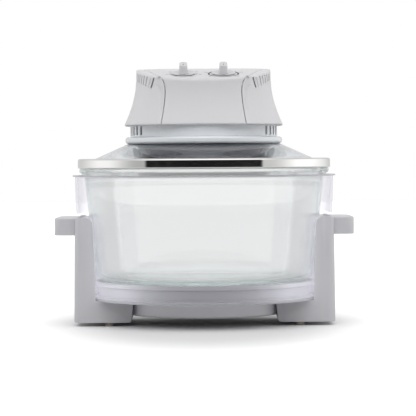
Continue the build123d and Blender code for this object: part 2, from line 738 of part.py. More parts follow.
spindle = disc(spindle_r, -cover_wall - 11, knob_lift + knob_base + 5.8)
body_top = -cover_wall - seat_gap
bore = disc(spindle_r + run_gap, body_top - 12, body_top + 1)
timer_case = block(-switch_body / 2, switch_body / 2, -switch_body / 2, switch_body / 2 - 2,
                   body_top - switch_depth, body_top)
thermostat_case = disc(switch_body / 2 - 1, body_top - switch_depth + 6, body_top)
thermostat_case += block(-14, 14, -16, 16, body_top - switch_depth + 2, body_top - switch_depth + 7)
pieces["timer"] = on_panel(-1) * (timer_case - bore)
pieces["thermostat"] = on_panel(1) * (thermostat_case - bore)
for side, name in ((-1, "timer"), (1, "thermostat")):
    pieces[name + "_knob"] = on_panel(side) * knob()
    pieces[name + "_spindle"] = on_panel(side) * spindle
    centre_cover -= on_panel(side) * disc(spindle_r + 1.0, -cover_wall * 3, 2)

# ---- Cord gland in the back of the centre cover, square to its wall ----
gland_drop = 14.0  # below the cap
gland_r = 7.0
gland_bore = 3.7
gland_z = z_cap - gland_drop
gland_y = half_width_at(gland_z) - cap_side_gap
wall_lean = degrees(atan((half_width_at(gland_z - 1) - half_width_at(gland_z + 1)) / 2))
out_of_back = Pos(0, gland_y, gland_z) * Rot(wall_lean - 90, 0, 0)
centre_cover -= out_of_back * Cylinder(gland_r + screw_gap, 30)
pieces["cord_gland"] = out_of_back * (
    Cylinder(gland_r, 12) + Pos(0, 0, -5.2) * Cylinder(gland_r + 2.5, 2.6) - Cylinder(gland_bore, 40)
)
pieces["centre_cover"] = centre_cover
pieces["terminal_block"] = block(-16, 16, 62, 74, z_plate_top, z_plate_top + 12)
pieces["thermal_cutout"] = disc(8.0, z_plate_top, z_plate_top + 7.0, 52, 0)


def cover_screw(x, y):
    """Self-tapping screw from below the motor plate into a boss."""
    return disc(3.4, z_plate - 2.2, z_plate, x, y) + disc(1.5, z_plate - 0.1, z_plate_top + 12, x, y)


pieces["cover_screws"] = joined([cover_screw(x, y) for x, y in centre_bosses + shoulder_bosses])

# ---- Carry handle: a bail that lies round the back of the cap, on two pivot pins ----
cap_plan = plan(cap_half_width, bail_low)
bail_inside = plan(cap_half_width - bail_thickness, bail_low - 1)
bail = extrude(cap_plan, bail_height) - extrude(bail_inside, bail_height + 2)
bail &= block(-150, 150, pivot_y, 150, 0, 500)
ends = Pos(0, pivot_y, pivot_z) * Rot(0, 90, 0) * Cylinder(bail_height / 2, 400)
ends &= extrude(plan(cap_half_width, bail_low), bail_height)
ends -= block(-cap_half_width + bail_thickness, cap_half_width - bail_thickness, -200, 200, 0, 500)
bail += ends & block(-150, 150, -150, pivot_y + 1, 0, 500)
half_bail = bail & block(0, 150, -150, 150, 0, 500)
pin_hole = Pos(cap_half_width - bail_thickness + 0.5, pivot_y, pivot_z) * Rot(0, 90, 0)
half_bail -= pin_hole * Cylinder(pivot_r + run_gap, 7.0)
bail = half_bail + mirrored(half_bail)
pieces["carry_handle"] = bail
pin_mid = cap_half_width - bail_thickness + 3.5 - pivot_length / 2
pieces["pivot_pins"] = joined(
    [
        Pos(side * pin_mid, pivot_y, pivot_z) * Rot(0, 90, 0) * Cylinder(pivot_r, pivot_length)
        for side in (-1, 1)
    ]
)

for name, piece in pieces.items():
    export_step(piece, f"parts/{name}.step")
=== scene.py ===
import bpy
import math
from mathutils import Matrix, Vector


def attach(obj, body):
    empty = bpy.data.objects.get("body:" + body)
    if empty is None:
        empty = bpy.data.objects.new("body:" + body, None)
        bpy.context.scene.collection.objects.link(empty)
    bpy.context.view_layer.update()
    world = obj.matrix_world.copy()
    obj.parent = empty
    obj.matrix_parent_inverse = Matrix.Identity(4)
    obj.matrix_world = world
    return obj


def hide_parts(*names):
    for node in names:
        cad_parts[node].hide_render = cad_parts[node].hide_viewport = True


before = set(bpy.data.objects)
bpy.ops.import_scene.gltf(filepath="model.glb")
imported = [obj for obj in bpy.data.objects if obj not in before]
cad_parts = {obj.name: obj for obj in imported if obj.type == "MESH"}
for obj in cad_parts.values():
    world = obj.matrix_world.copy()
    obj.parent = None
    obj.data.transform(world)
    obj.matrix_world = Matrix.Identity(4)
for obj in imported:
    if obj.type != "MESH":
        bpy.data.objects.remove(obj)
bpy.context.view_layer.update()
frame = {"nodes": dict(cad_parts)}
bpy.ops.object.select_all(action="DESELECT")

# ---- Rubber feet ----
# Four small soles of beige rubber, moulded with a stem that is pushed up into the white legs.
# Only the sole shows; its lower edge is rounded and its surface is dull and slightly dusty.


class Wire:
    """A value in a finish's node tree. Arithmetic on it adds the Math nodes."""

    def __init__(self, coat, socket):
        self.coat, self.socket = coat, socket

    def maths(self, operation, *others):
        return self.coat.node("ShaderNodeMath", {"operation": operation}, [self, *others])

    def __add__(self, other):
        return self.maths("ADD", other)

    def __sub__(self, other):
        return self.maths("SUBTRACT", other)

    def __mul__(self, other):
        return self.maths("MULTIPLY", other)

    def __rsub__(self, other):
        return self.coat.node("ShaderNodeMath", {"operation": "SUBTRACT"}, [other, self])

    __radd__ = __add__
    __rmul__ = __mul__


class Coat:
    """A finish: one material, its surface shader and the nodes that vary it."""

    def __init__(self, name, colour, **surface):
        self.material = bpy.data.materials.new(name)
        self.material.use_nodes = True
        self.tree = self.material.node_tree
        self.shader = self.tree.nodes["Principled BSDF"]
        self.shader.inputs["Base Color"].default_value = (*colour, 1)
        for socket, value in surface.items():
            self.shader.inputs[socket.replace("_", " ")].default_value = value

    def node(self, kind, settings, inputs, output=0):
        made = self.tree.nodes.new(kind)
        for key, value in settings.items():
            if key == "stops":
                while len(made.color_ramp.elements) < len(value):
                    made.color_ramp.elements.new(0.5)
                for element, (place, colour) in zip(made.color_ramp.elements, value):
                    element.position, element.color = place, (*colour, 1)
            else:
                setattr(made, key, value)
        for key, value in inputs.items() if isinstance(inputs, dict) else enumerate(inputs):
            if isinstance(value, Wire):
                self.tree.links.new(value.socket, made.inputs[key])
            else:
                made.inputs[key].default_value = value
        return Wire(self, made.outputs[output])

    def place(self, stretch=(1, 1, 1)):
        at = self.node("ShaderNodeTexCoord", {}, {}, "Object")
        return self.node("ShaderNodeVectorMath", {"operation": "MULTIPLY"}, [at, stretch])

    def noise(self, scale, detail=3.0, rough=0.5, stretch=(1, 1, 1)):
        """Noise with features of about 1/scale metres."""
        inputs = {"Vector": self.place(stretch), "Scale": scale, "Detail": detail, "Roughness": rough}
        return self.node("ShaderNodeTexNoise", {}, inputs)

    def band(self, value, low, high):
        """0 below low, 1 above high."""
        settings = {"interpolation_type": "SMOOTHSTEP"}
        return self.node("ShaderNodeMapRange", settings, [value, low, high, 0.0, 1.0])

    def mix(self, share, first, second):
        inputs = {0: share, 6: (*first, 1) if isinstance(first, tuple) else first,
                  7: (*second, 1) if isinstance(second, tuple) else second}
        return self.node("ShaderNodeMix", {"data_type": "RGBA"}, inputs, 2)

    def feed(self, **wires):
        for socket, wire in wires.items():
            self.tree.links.new(wire.socket, self.shader.inputs[socket.replace("_", " ")])

    def vary(self, mottle, low, high, wear, gain, least):
        """Colour from low to high by the mottle, and roughness from least up by the wear."""
        self.feed(Base_Color=self.mix(mottle, low, high), Roughness=wear * gain + least)

    def bump(self, height, distance, strength=1.0):
        inputs = {"Strength": strength, "Distance": distance, "Height": height}
        self.feed(Normal=self.node("ShaderNodeBump", {}, inputs))

    def on(self, *pieces):
        """Puts the finish on pieces in place of what they had."""
        for piece in pieces:
            piece.data.materials.clear()
            piece.data.materials.append(self.material)


def alone(piece):
    """Makes one piece the only one selected, in object mode."""
    if bpy.context.object and bpy.context.object.mode == "EDIT":
        bpy.ops.object.mode_set(mode="OBJECT")
    bpy.ops.object.select_all(action="DESELECT")
    piece.select_set(True)
    bpy.context.view_layer.objects.active = piece


def edit(piece):
    """Opens one piece in vertex mode, with all of it selected."""
    alone(piece)
    bpy.ops.object.mode_set(mode="EDIT")
    bpy.ops.mesh.select_mode(type="VERT")
    bpy.ops.mesh.select_all(action="SELECT")


def choose(piece, test):
    """Selects, in vertex mode, the vertices whose place passes the test."""
    bpy.ops.mesh.select_all(action="DESELECT")
    bpy.ops.object.mode_set(mode="OBJECT")
    for vertex in piece.data.vertices:
        vertex.select = test(vertex.co)
    bpy.ops.object.mode_set(mode="EDIT")


def smooth(piece, angle=35):
    """Shades a piece smooth up to an angle and leaves it at the origin."""
    alone(piece)
    bpy.ops.object.transform_apply(location=True, rotation=True, scale=True)
    bpy.ops.object.shade_smooth_by_angle(angle=math.radians(angle))
    piece.select_set(False)


same_place = 2e-6  # closer points are one point
corner_step = math.radians(11)  # turn of each facet of a rounded corner


def turned(name, profile, steps=160):
    """Turned piece from (radius, height, corner radius) points: a chain extruded, rounded and spun."""
    x, z, _ = profile[0]
    closed = x > 0 or profile[-1][0] > 0
    bpy.ops.mesh.primitive_plane_add(size=0.001, location=(x, 0, z))
    piece = bpy.context.object
    piece.name = piece.data.name = name
    bpy.ops.object.transform_apply(location=True)
    edit(piece)
    bpy.ops.mesh.merge(type="CENTER")
    for px, pz, _ in profile[1:] + (profile[:1] if closed else []):
        bpy.ops.mesh.extrude_vertices_move(TRANSFORM_OT_translate={"value": (px - x, 0, pz - z)})
        x, z = px, pz
    bpy.ops.mesh.select_all(action="SELECT")
    bpy.ops.mesh.remove_doubles(threshold=1e-6)
    for index, (px, pz, corner) in enumerate(profile):
        if not corner:
            continue
        before, after = profile[index - 1], profile[(index + 1) % len(profile)]
        u = Vector((before[0] - px, before[1] - pz))
        w = Vector((after[0] - px, after[1] - pz))
        half = u.angle(w) / 2
        choose(piece, lambda co: abs(co.x - px) < same_place and abs(co.z - pz) < same_place)
        segments = max(2, round((math.pi - 2 * half) / corner_step))
        bpy.ops.mesh.bevel(affect="VERTICES", offset=corner / math.tan(half), segments=segments)
    bpy.ops.mesh.select_all(action="SELECT")
    bpy.ops.mesh.spin(steps=steps, angle=2 * math.pi, center=(0, 0, 0), axis=(0, 0, 1))
    bpy.ops.mesh.select_all(action="SELECT")
    bpy.ops.mesh.remove_doubles(threshold=same_place)
    bpy.ops.mesh.normals_make_consistent(inside=False)
    smooth(piece)
    return piece


def shifted(piece, name, dx, dy, dz=0.0):
    """Copy of a piece, with its own mesh, moved bodily."""
    other = piece.copy()
    other.data = piece.data.copy()
    other.name = other.data.name = name
    bpy.context.scene.collection.objects.link(other)
    for vertex in other.data.vertices:
        vertex.co += Vector((dx, dy, dz))
    return other


def settle(pieces, body, nodes=()):
    """Lets the pieces ride on a body, the first of them in place of CAD nodes."""
    for piece in pieces:
        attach(piece, body)
    if nodes:
        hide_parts(*nodes)


rubber = Coat("beige_rubber", (0.43, 0.38, 0.30), Roughness=0.7)
grime = rubber.noise(260.0, 5.0, 0.6)
rubber.vary(rubber.band(grime, 0.35, 0.7), (0.40, 0.35, 0.27), (0.48, 0.43, 0.35), grime, 0.3, 0.55)
rubber.bump(rubber.noise(2500.0, 2.0), 0.0002, 0.35)
foot_x, foot_y = 0.1186, 0.048
sole_top, stem_top, stem_r = 0.0045, 0.0115, 0.0030
sole = turned("rubber_foot", [
    (0, 0.0005, 0), (stem_r, 0.0005, 0.0003), (0.0034, 0.0, 0.0003), (0.0055, 0.0, 0.0009),
    (0.0053, sole_top, 0), (stem_r, sole_top, 0), (stem_r, stem_top, 0.0005), (0, stem_top, 0),
], steps=40)
soles = [shifted(sole, f"rubber_foot_{i}", sx * foot_x, sy * foot_y)
         for i, (sx, sy) in enumerate([(-1, -1), (1, -1), (-1, 1), (1, 1)])]
bpy.data.objects.remove(sole)
rubber.on(*soles)
settle(soles, "base", ["rubber_feet"])

# ---- White legs with their finger lugs ----
# Each leg is one hollow white moulding: an upright column outside the shell, a foot that reaches in
# under the pan, and a lug to lift by. It is glossy, with soft corners, and open from below. Its white is
# set greyer than the tray's, as painted shade on its front faces.


def from_cad(name, node, corner):
    """Copy of a CAD node's shape as clean faces with rounded edges."""
    source = frame["nodes"][node]
    piece = source.copy()
    piece.data = source.data.copy()
    for key in list(piece.keys()):
        del piece[key]
    piece.parent = None
    piece.name = piece.data.name = name
    bpy.context.scene.collection.objects.link(piece)
    edit(piece)
    bpy.ops.mesh.remove_doubles(threshold=same_place)
    bpy.ops.mesh.dissolve_limited(angle_limit=math.radians(1))
    bpy.ops.object.mode_set(mode="OBJECT")
    piece.data.materials.clear()
    bevel = piece.modifiers.new("soft_edges", "BEVEL")
    bevel.width, bevel.segments, bevel.limit_method = corner, 3, "ANGLE"
    bevel.angle_limit, bevel.use_clamp_overlap = math.radians(38), True
    bevel.harden_normals = True
    bpy.ops.object.modifier_apply(modifier="soft_edges")
    smooth(piece, 38)
    return piece


def gloss_moulding(name, colour, low, high):
    """Glossy plastic whose colour drifts a little between low and high."""
    coat = Coat(name, colour, Roughness=0.3, Coat_Weight=0.35, Coat_Roughness=0.12)
    coat.vary(coat.noise(18.0, 3.0), low, high, coat.noise(90.0, 4.0), 0.14, 0.26)
    coat.bump(coat.noise(700.0, 3.0), 0.0002, 0.12)
    return coat


leg_corner = 0.0007
# Painted shade: the legs' white is darker than the tray's and pan's white of the same plastic.
white = gloss_moulding("leg_white_painted_shade", (0.56, 0.56, 0.585), (0.545, 0.545, 0.57), (0.575, 0.575, 0.60))
legs = [from_cad(f"{side}_leg_moulding", f"{side}_leg", leg_corner) for side in ("left", "right")]
white.on(*legs)
for leg, side in zip(legs, ("left", "right")):
    settle([leg], "base", [f"{side}_leg"])

# ---- Tray and pan ----
# The tray is a white disc with a low lip that carries the bowl on six pads, over a skirt that the
# shell closes on. The shallow pan below it closes the space between the feet.
shell_foot, pan_top = 0.0310, 0.0340
tray_top, tray_under, lip_top = 0.0510, 0.0480, 0.0540
pan_hole_r, skirt_in_r, skirt_out_r, tray_lip_r, tray_foot_r = 0.1003, 0.1300, 0.1330, 0.1370, 0.1406
tray = turned("base_tray_moulding", [
    (0, tray_top, 0), (0.1325, tray_top, 0.0008), (0.1335, lip_top, 0.0006), (tray_lip_r, lip_top, 0.0015),
    (tray_lip_r, 0.0485, 0.0015), (skirt_out_r, 0.0475, 0.0005), (skirt_out_r, 0.0360, 0.0010),
    (tray_foot_r, pan_top, 0.0005), (tray_foot_r, shell_foot, 0.0004), (pan_hole_r, shell_foot, 0.0004),
    (pan_hole_r, pan_top, 0.0004), (skirt_in_r, pan_top, 0.0008), (skirt_in_r, tray_under, 0.0010),
    (0, tray_under, 0),
], steps=180)
pan_r, pan_inner_r, pan_flange_r = 0.1000, 0.0974, 0.1120
pan = turned("base_pan_moulding", [
    (0, 0.0115, 0), (0.0700, 0.0115, 0.0004), (0.0716, 0.0122, 0.0004), (pan_r, 0.0122, 0.0032),
    (pan_r, pan_top, 0.0004), (pan_flange_r, pan_top, 0.0006), (pan_flange_r, 0.0365, 0.0006),
    (pan_inner_r, 0.0365, 0.0006), (pan_inner_r, 0.0146, 0.0015), (0, 0.0146, 0),
], steps=160)
bright = gloss_moulding("tray_moulding", (0.68, 0.68, 0.71), (0.66, 0.66, 0.69), (0.70, 0.70, 0.73))
bright.on(tray, pan)
settle([tray], "base", ["base_tray"])
settle([pan], "base", ["base_pan"])

# ---- Screws and other zinc plated steel ----
# Pressed and turned steel parts with a thin bright zinc plating: the screws of the base, and the
# plate, brackets, spacers and shafts inside the head. The plating is slightly clouded.
zinc = Coat("zinc_plate", (0.60, 0.61, 0.63), Metallic=1.0, Roughness=0.35)
cloud = zinc.noise(160.0, 5.0, 0.6)
zinc.vary(cloud, (0.52, 0.53, 0.55), (0.68, 0.685, 0.69), cloud, 0.25, 0.24)
zinc.bump(zinc.noise(1800.0, 2.0), 0.0001, 0.2)
nodes = frame["nodes"]
zinc.on(*[nodes[name] for name in (
    "pan_screws", "leg_screws", "motor_plate", "motor_bracket", "bearing_bridge", "cover_screws",
    "housing_screws", "pivot_pins", "spacers", "motor_shaft", "timer_spindle", "thermostat_spindle",
)])

# ---- Clear outer shell ----
# One clear moulding in polycarbonate round the bowl: a thin flat flange at the top, a straight wall, a
# step inwards that rests on the legs, and a lower wall down to a beaded edge. Where it is seen edge on,
# its pale colour shows as a painted reflection, and the flange's lower edge and the bead are painted
# darker as painted shade. For matt pieces inside it the moulding glows with a painted light, weaker at
# the front.
clear = Coat("clear_polycarbonate", (0.80, 0.80, 0.83), Roughness=0.03, IOR=1.49)
bead_top, flange_low, flange_top = 0.0342, 0.1847, 0.1867
shelf_low, shelf_top = 0.1355, 0.1381
grazing = clear.node("ShaderNodeLayerWeight", {}, {"Blend": 0.5}, "Facing")
height = clear.node("ShaderNodeSeparateXYZ", {}, [clear.place()], 2)
turn_up = clear.node("ShaderNodeTexCoord", {}, {}, "Normal")
facing_up = clear.node("ShaderNodeSeparateXYZ", {}, [turn_up], 2)
upright = 1 - clear.band(facing_up.maths("ABSOLUTE"), 0.25, 0.75)
# Painted shade: the flange's lower edge and the bead are darker and more opaque than the rest.
edge = clear.band(height, flange_low - 0.0007, flange_low + 0.0001)
edge = edge + (1 - clear.band(height, bead_top - 0.0002, bead_top + 0.0006))
# Painted reflection: where an upright wall is seen edge on, its pale colour is made opaque.
edge_on = grazing * grazing * grazing * grazing * upright
# Painted light: for diffuse rays the moulding turns opaque and glows, less towards the front.
soft = clear.node("ShaderNodeLightPath", {}, {}, "Is Diffuse Ray")
depth_y = clear.node("ShaderNodeSeparateXYZ", {}, [clear.place()], 1)
at_front = clear.band(depth_y * -1.0, 0.085, 0.148)
clear.feed(
    Roughness=clear.band(clear.noise(35.0, 5.0, 0.6), 0.45, 0.9) * 0.06 + 0.02,
    Alpha=(edge_on * 0.85 + 0.02 + edge * 0.45).maths("MAXIMUM", soft * 0.9),
    Base_Color=clear.mix(edge, (0.70, 0.69, 0.74), (0.42, 0.42, 0.45)),
    Emission_Color=soft * (0.60 - at_front * 0.42),
)
clear.shader.inputs["Emission Strength"].default_value = 1.0
clear.bump(clear.noise(22.0, 2.0), 0.0004, 0.05)
shell = turned("outer_shell_moulding", [
    (0.1442, shell_foot, 0.0005), (0.1442, 0.0334, 0.0005), (0.1437, bead_top, 0.0003),
    (0.1490, shelf_low, 0.0034), (0.1613, shelf_low, 0.0058), (0.1625, flange_low, 0.0004),
    (0.1654, flange_low, 0.0006), (0.1654, flange_top, 0.0006), (0.1599, flange_top, 0.0008),
    (0.1587, shelf_top, 0.0032), (0.1464, shelf_top, 0.0060), (0.1409, shell_foot, 0.0004),
], steps=200)
clear.on(shell)
settle([shell], "base", ["outer_shell"])

# ---- Seals and pads ----
# Soft pale silicone: the six pads under the bowl, the gasket that seats the lid on the bowl, and the
# flat seal between the glass cone and the ring. It is slightly cloudy and dull.
silicone = Coat("pale_silicone", (0.80, 0.80, 0.80), Roughness=0.5, Subsurface_Weight=0.15)
milk = silicone.noise(120.0, 3.0)
silicone.vary(milk, (0.74, 0.74, 0.74), (0.84, 0.84, 0.835), milk, 0.2, 0.42)
silicone.bump(silicone.noise(1500.0, 2.0), 0.0001, 0.2)
silicone.on(nodes["seat_pads"], nodes["lid_gasket"], nodes["ring_seal"])

# ---- Glass bowl ----
# A pressed and tempered glass bowl with a thick foot and a heavy fire-polished lip. The glass is clear
# with a green cast in depth, and its surface has the slight waves of pressing.


def steep(coat, colour, density):
    """Colour that clear stuff takes in its depth."""
    depth = coat.node("ShaderNodeVolumeAbsorption", {}, {"Color": (*colour, 1), "Density": density})
    coat.tree.links.new(depth.socket, coat.tree.nodes["Material Output"].inputs["Volume"])


pressed = Coat("pressed_glass", (0.995, 0.997, 0.997), Roughness=0.0, IOR=1.28, Transmission_Weight=1.0)
pressed.feed(Roughness=pressed.band(pressed.noise(28.0, 5.0, 0.6), 0.5, 0.95) * 0.05)
pressed.shader.inputs["Alpha"].default_value = 0.65
pressed.bump(pressed.noise(16.0, 2.0, 0.5, (1, 1, 0.5)), 0.0008, 0.08)
steep(pressed, (0.55, 0.86, 0.80), 4.5)
bowl_foot, bowl_floor, bowl_lip, bowl_lip_r = 0.0520, 0.0580, 0.1945, 0.1570
bowl = turned("glass_bowl_pressing", [
    (0, bowl_foot, 0), (0.1357, bowl_foot, 0.0130), (0.1508, 0.1855, 0.0060), (bowl_lip_r, 0.1905, 0.0025),
    (bowl_lip_r, bowl_lip, 0.0012), (0.1510, bowl_lip, 0.0016), (0.1463, 0.1845, 0.0080),
    (0.1312, bowl_floor, 0.0085), (0, bowl_floor, 0),
], steps=200)
pressed.on(bowl)
settle([bowl], "bowl", ["glass_bowl"])

# ---- Lid glass ----
# A tempered glass cone with a flat edge that sits in the steel rim and a round hole for the head. It
# is a little greyer and bluer than the bowl.
cone = Coat("lid_glass", (0.95, 0.965, 0.985), Roughness=0.0, IOR=1.5, Transmission_Weight=1.0)
cone.feed(Roughness=cone.band(cone.noise(30.0, 5.0, 0.6), 0.5, 0.95) * 0.06)
cone.bump(cone.noise(14.0, 2.0), 0.0008, 0.06)
steep(cone, (0.70, 0.82, 0.92), 12.0)
glass_hole_r, glass_edge_r, glass_low, glass_top = 0.0895, 0.1574, 0.2022, 0.2062
lid_glass = turned("lid_glass_cone", [
    (glass_hole_r, 0.22828, 0.0008), (glass_hole_r, 0.22389, 0.0008), (0.13764, glass_low, 0.0140),
    (glass_edge_r, glass_low, 0.0010), (glass_edge_r, glass_top, 0.0010), (0.1385, glass_top, 0.0140),
], steps=200)
cone.on(lid_glass)
settle([lid_glass], "lid", ["lid_glass"])

# ---- Steel rim of the lid ----
# A rolled band of polished stainless steel, closed over the glass at the top and under the gasket
# below. It is mirror bright with faint lines round it from polishing.
rim_steel = Coat("polished_steel", (0.72, 0.715, 0.70), Metallic=1.0, Roughness=0.08)
polish = rim_steel.noise(1.0, 3.0, 0.6, (14, 14, 2600))
rim_steel.vary(rim_steel.noise(25.0, 4.0), (0.69, 0.685, 0.67), (0.75, 0.745, 0.735), polish, 0.06, 0.02)
rim_steel.bump(polish, 0.00005, 0.10)
rim_r, rim_in_r, rim_low, rim_top, rim_sheet = 0.1588, 0.1580, 0.1948, 0.2070, 0.0008
rim = turned("lid_rim_band", [
    (0.1533, 0.20625, 0.0002), (rim_in_r, 0.20625, 0.0009), (rim_in_r, rim_low + rim_sheet, 0.0009),
    (0.1550, rim_low + rim_sheet, 0.0002), (0.1550, rim_low, 0.0003), (rim_r, rim_low, 0.0014),
    (rim_r, 0.1964, 0), (rim_r, 0.2034, 0), (rim_r, rim_top, 0.0026), (0.1533, rim_top, 0.0003),
], steps=200)
rim_steel.on(rim)
settle([rim], "lid", ["lid_rim"])

# ---- Lower housing, guard and lamp clips ----
# The heater's housing is drawn from thin steel with a stepped mouth, closed below by a punched guard.
# The guard and the clips are bright, with fine lines from drawing; the housing is painted dark all over, a
# painted reflection of dark surroundings.
drawn = Coat("drawn_steel", (0.62, 0.62, 0.62), Metallic=1.0, Roughness=0.2)
draw_lines = (30, 30, 1800)
lines = drawn.noise(1.0, 4.0, 0.6, draw_lines)
drawn.vary(drawn.noise(40.0, 4.0), (0.56, 0.56, 0.56), (0.68, 0.68, 0.675), lines, 0.16, 0.12)
drawn.bump(lines, 0.0001, 0.12)
shaft_hole_r, housing_r, housing_in_r, mouth_r, mouth_in_r = 0.0055, 0.0870, 0.0860, 0.0790, 0.0780
housing_top, housing_low = 0.2250, 0.1970
housing = turned("lamp_housing_drawing", [
    (shaft_hole_r, housing_top, 0), (0.0865, housing_top, 0.0005), (0.0880, 0.22427, 0.0004),
    (0.0955, 0.22089, 0.0003), (0.0955, 0.22000, 0.0002), (housing_r, 0.2237, 0.0002),
    (housing_r, 0.2125, 0.0060), (mouth_r, 0.2055, 0.0050), (mouth_r, housing_low, 0.0002),
    (mouth_in_r, housing_low, 0.0002), (mouth_in_r, 0.2050, 0.0040), (housing_in_r, 0.2120, 0.0070),
    (housing_in_r, 0.2240, 0.0020), (shaft_hole_r, 0.2240, 0),
], steps=160)
drawn.on(nodes["lamp_guard"], nodes["lamp_clips"])
# Painted reflection: the housing's steel gets a dark colour in place of the dark surroundings its polish
# would show.
painted_dark_steel = Coat("housing_steel_painted_dark", (0.13, 0.13, 0.135), Metallic=1.0, Roughness=0.14)
lines = painted_dark_steel.noise(1.0, 4.0, 0.6, draw_lines)
painted_dark_steel.vary(painted_dark_steel.noise(40.0, 4.0), (0.11, 0.11, 0.115), (0.15, 0.15, 0.155), lines, 0.10, 0.08)
painted_dark_steel.on(housing)
settle([housing], "lid", ["lamp_housing"])

# ---- Halogen lamp ----
# A ring of quartz tube with a fine coiled tungsten wire along its middle, held by two white steatite
# holders where its ends come together.
quartz = Coat("quartz_tube", (0.97, 0.96, 0.95), Roughness=0.08, IOR=1.46, Transmission_Weight=0.9)
quartz.feed(Roughness=quartz.noise(200.0, 3.0) * 0.15 + 0.03)
quartz.on(nodes["halogen_lamp"])
tungsten = Coat("tungsten_wire", (0.30, 0.29, 0.28), Metallic=1.0, Roughness=0.45)
tungsten.feed(Roughness=tungsten.noise(900.0) * 0.2 + 0.35)
wire_sides, wire_r, coil_r = 6, 0.0002, 0.0016
wire_turns, steps_a_turn = 60, 10
lamp_start, lamp_sweep = math.radians(16), math.radians(328)
lamp_r, lamp_z = 0.052, 0.206
bpy.ops.mesh.primitive_circle_add(vertices=wire_sides, radius=wire_r, location=(coil_r, 0, 0))
wire = bpy.context.object
wire.name = wire.data.name = "tungsten_coil"
bpy.ops.object.transform_apply(location=True)
edit(wire)
bpy.ops.transform.rotate(value=math.pi / 2, orient_axis="X", center_override=(coil_r, 0, 0))
all_turns = 2 * math.pi * wire_turns
bpy.ops.mesh.spin(steps=steps_a_turn * wire_turns, angle=all_turns, center=(0, 0, 0), axis=(0, 0, 1))
bpy.ops.object.mode_set(mode="OBJECT")
last_station = len(wire.data.vertices) // wire_sides - 1
for index, vertex in enumerate(wire.data.vertices):
    share = (index // wire_sides) / last_station
    round_ring, turn = lamp_start + lamp_sweep * share, all_turns * share
    out, up = math.hypot(vertex.co.x, vertex.co.y), vertex.co.z
    radius = lamp_r + out * math.cos(turn)
    vertex.co = (
        radius * math.cos(round_ring), radius * math.sin(round_ring), lamp_z + out * math.sin(turn) + up,
    )
smooth(wire)
tungsten.on(wire)
settle([wire], "lid")

# ---- Parts inside the head ----
# Bought-in parts and pressings on the motor plate: laminated stator, wound coil, cast fans, bronze
# bushes, fibre pad, steatite blocks and black plastic cases. The covers hide them in use.
steatite = Coat("white_steatite", (0.80, 0.79, 0.75), Roughness=0.5)
grain = steatite.noise(400.0, 4.0)
steatite.vary(grain, (0.76, 0.75, 0.71), (0.84, 0.83, 0.80), grain, 0.3, 0.4)
steatite.bump(grain, 0.0002, 0.3)
steatite.on(nodes["lamp_holders"], nodes["terminal_block"], nodes["thermal_cutout"])
fibre = Coat("mineral_fibre", (0.74, 0.72, 0.66), Roughness=0.95)
strands = fibre.noise(1.0, 6.0, 0.7, (900, 250, 500))
fibre.feed(Base_Color=fibre.mix(strands, (0.62, 0.60, 0.54), (0.80, 0.79, 0.74)))
fibre.bump(strands, 0.0008, 0.6)
fibre.on(nodes["insulation_pad"])
winding = Coat("copper_winding", (0.55, 0.25, 0.12), Metallic=0.9, Roughness=0.35)
turns = winding.node(
    "ShaderNodeTexWave", {"bands_direction": "Z"}, {"Vector": winding.place(), "Scale": 700.0})
winding.feed(Base_Color=winding.mix(turns, (0.32, 0.13, 0.06), (0.62, 0.30, 0.15)))
winding.bump(turns, 0.0003, 0.6)
winding.on(nodes["motor_coil"])
laminated = Coat("laminated_iron", (0.20, 0.20, 0.21), Metallic=0.8, Roughness=0.5)
sheets = laminated.node(
    "ShaderNodeTexWave", {"bands_direction": "Z"}, {"Vector": laminated.place(), "Scale": 320.0})
laminated.feed(Base_Color=laminated.mix(sheets, (0.12, 0.12, 0.13), (0.28, 0.28, 0.29)))
laminated.bump(sheets, 0.0002, 0.5)
laminated.on(nodes["motor_stator"], nodes["motor_rotor"])
cast = Coat("pressed_aluminium", (0.70, 0.71, 0.72), Metallic=1.0, Roughness=0.4)
skin = cast.noise(300.0, 4.0)
cast.vary(skin, (0.62, 0.63, 0.64), (0.76, 0.77, 0.78), skin, 0.3, 0.3)
cast.bump(skin, 0.0001, 0.3)
cast.on(nodes["hot_fan"])
bronze = Coat("sintered_bronze", (0.48, 0.34, 0.18), Metallic=1.0, Roughness=0.55)
pores = bronze.noise(1500.0, 3.0)
bronze.feed(Base_Color=bronze.mix(pores, (0.36, 0.25, 0.13), (0.56, 0.41, 0.23)))
bronze.bump(pores, 0.0001, 0.4)
bronze.on(nodes["shaft_bushes"])
black = Coat("black_moulding", (0.035, 0.035, 0.037), Roughness=0.5)
matt = black.noise(600.0, 4.0)
black.vary(matt, (0.025, 0.025, 0.027), (0.05, 0.05, 0.052), matt, 0.3, 0.38)
black.bump(matt, 0.0001, 0.4)
black.on(*[nodes[name] for name in ("cooling_fan", "cord_gland", "safety_switch", "timer", "thermostat")])

# ---- Ring on the glass and vent collar ----
# Two glossy mouldings in a pale blue white. The ring clamps the glass cone to the motor plate; the
# collar stands on it under the covers, with upright slots at both sides that let cooling air out.
icy = Coat("pale_blue_moulding", (0.84, 0.87, 0.90), Roughness=0.2, Coat_Weight=0.6, Coat_Roughness=0.06)
icy.vary(icy.noise(30.0, 3.0), (0.82, 0.85, 0.885), (0.86, 0.885, 0.915), icy.noise(120.0, 4.0), 0.12, 0.16)
icy.bump(icy.noise(500.0, 3.0), 0.0002, 0.06)
ring_r, ring_low, ring_top, ledge_low, ledge_top = 0.0987, 0.22493, 0.23403, 0.22918, 0.23098
ring = turned("clamp_ring_moulding", [
    (ring_r, ring_low, 0.0024), (ring_r, ring_top, 0.0034), (0.0899, ring_top, 0.0003),
    (0.0899, ledge_top, 0.0003), (0.0832, ledge_top, 0.0004), (0.0832, ledge_low, 0.0004),
    (0.0893, ledge_low, 0.0003),
], steps=180)
collar_r, collar_in_r, collar_top = 0.0923, 0.0898, 0.25053
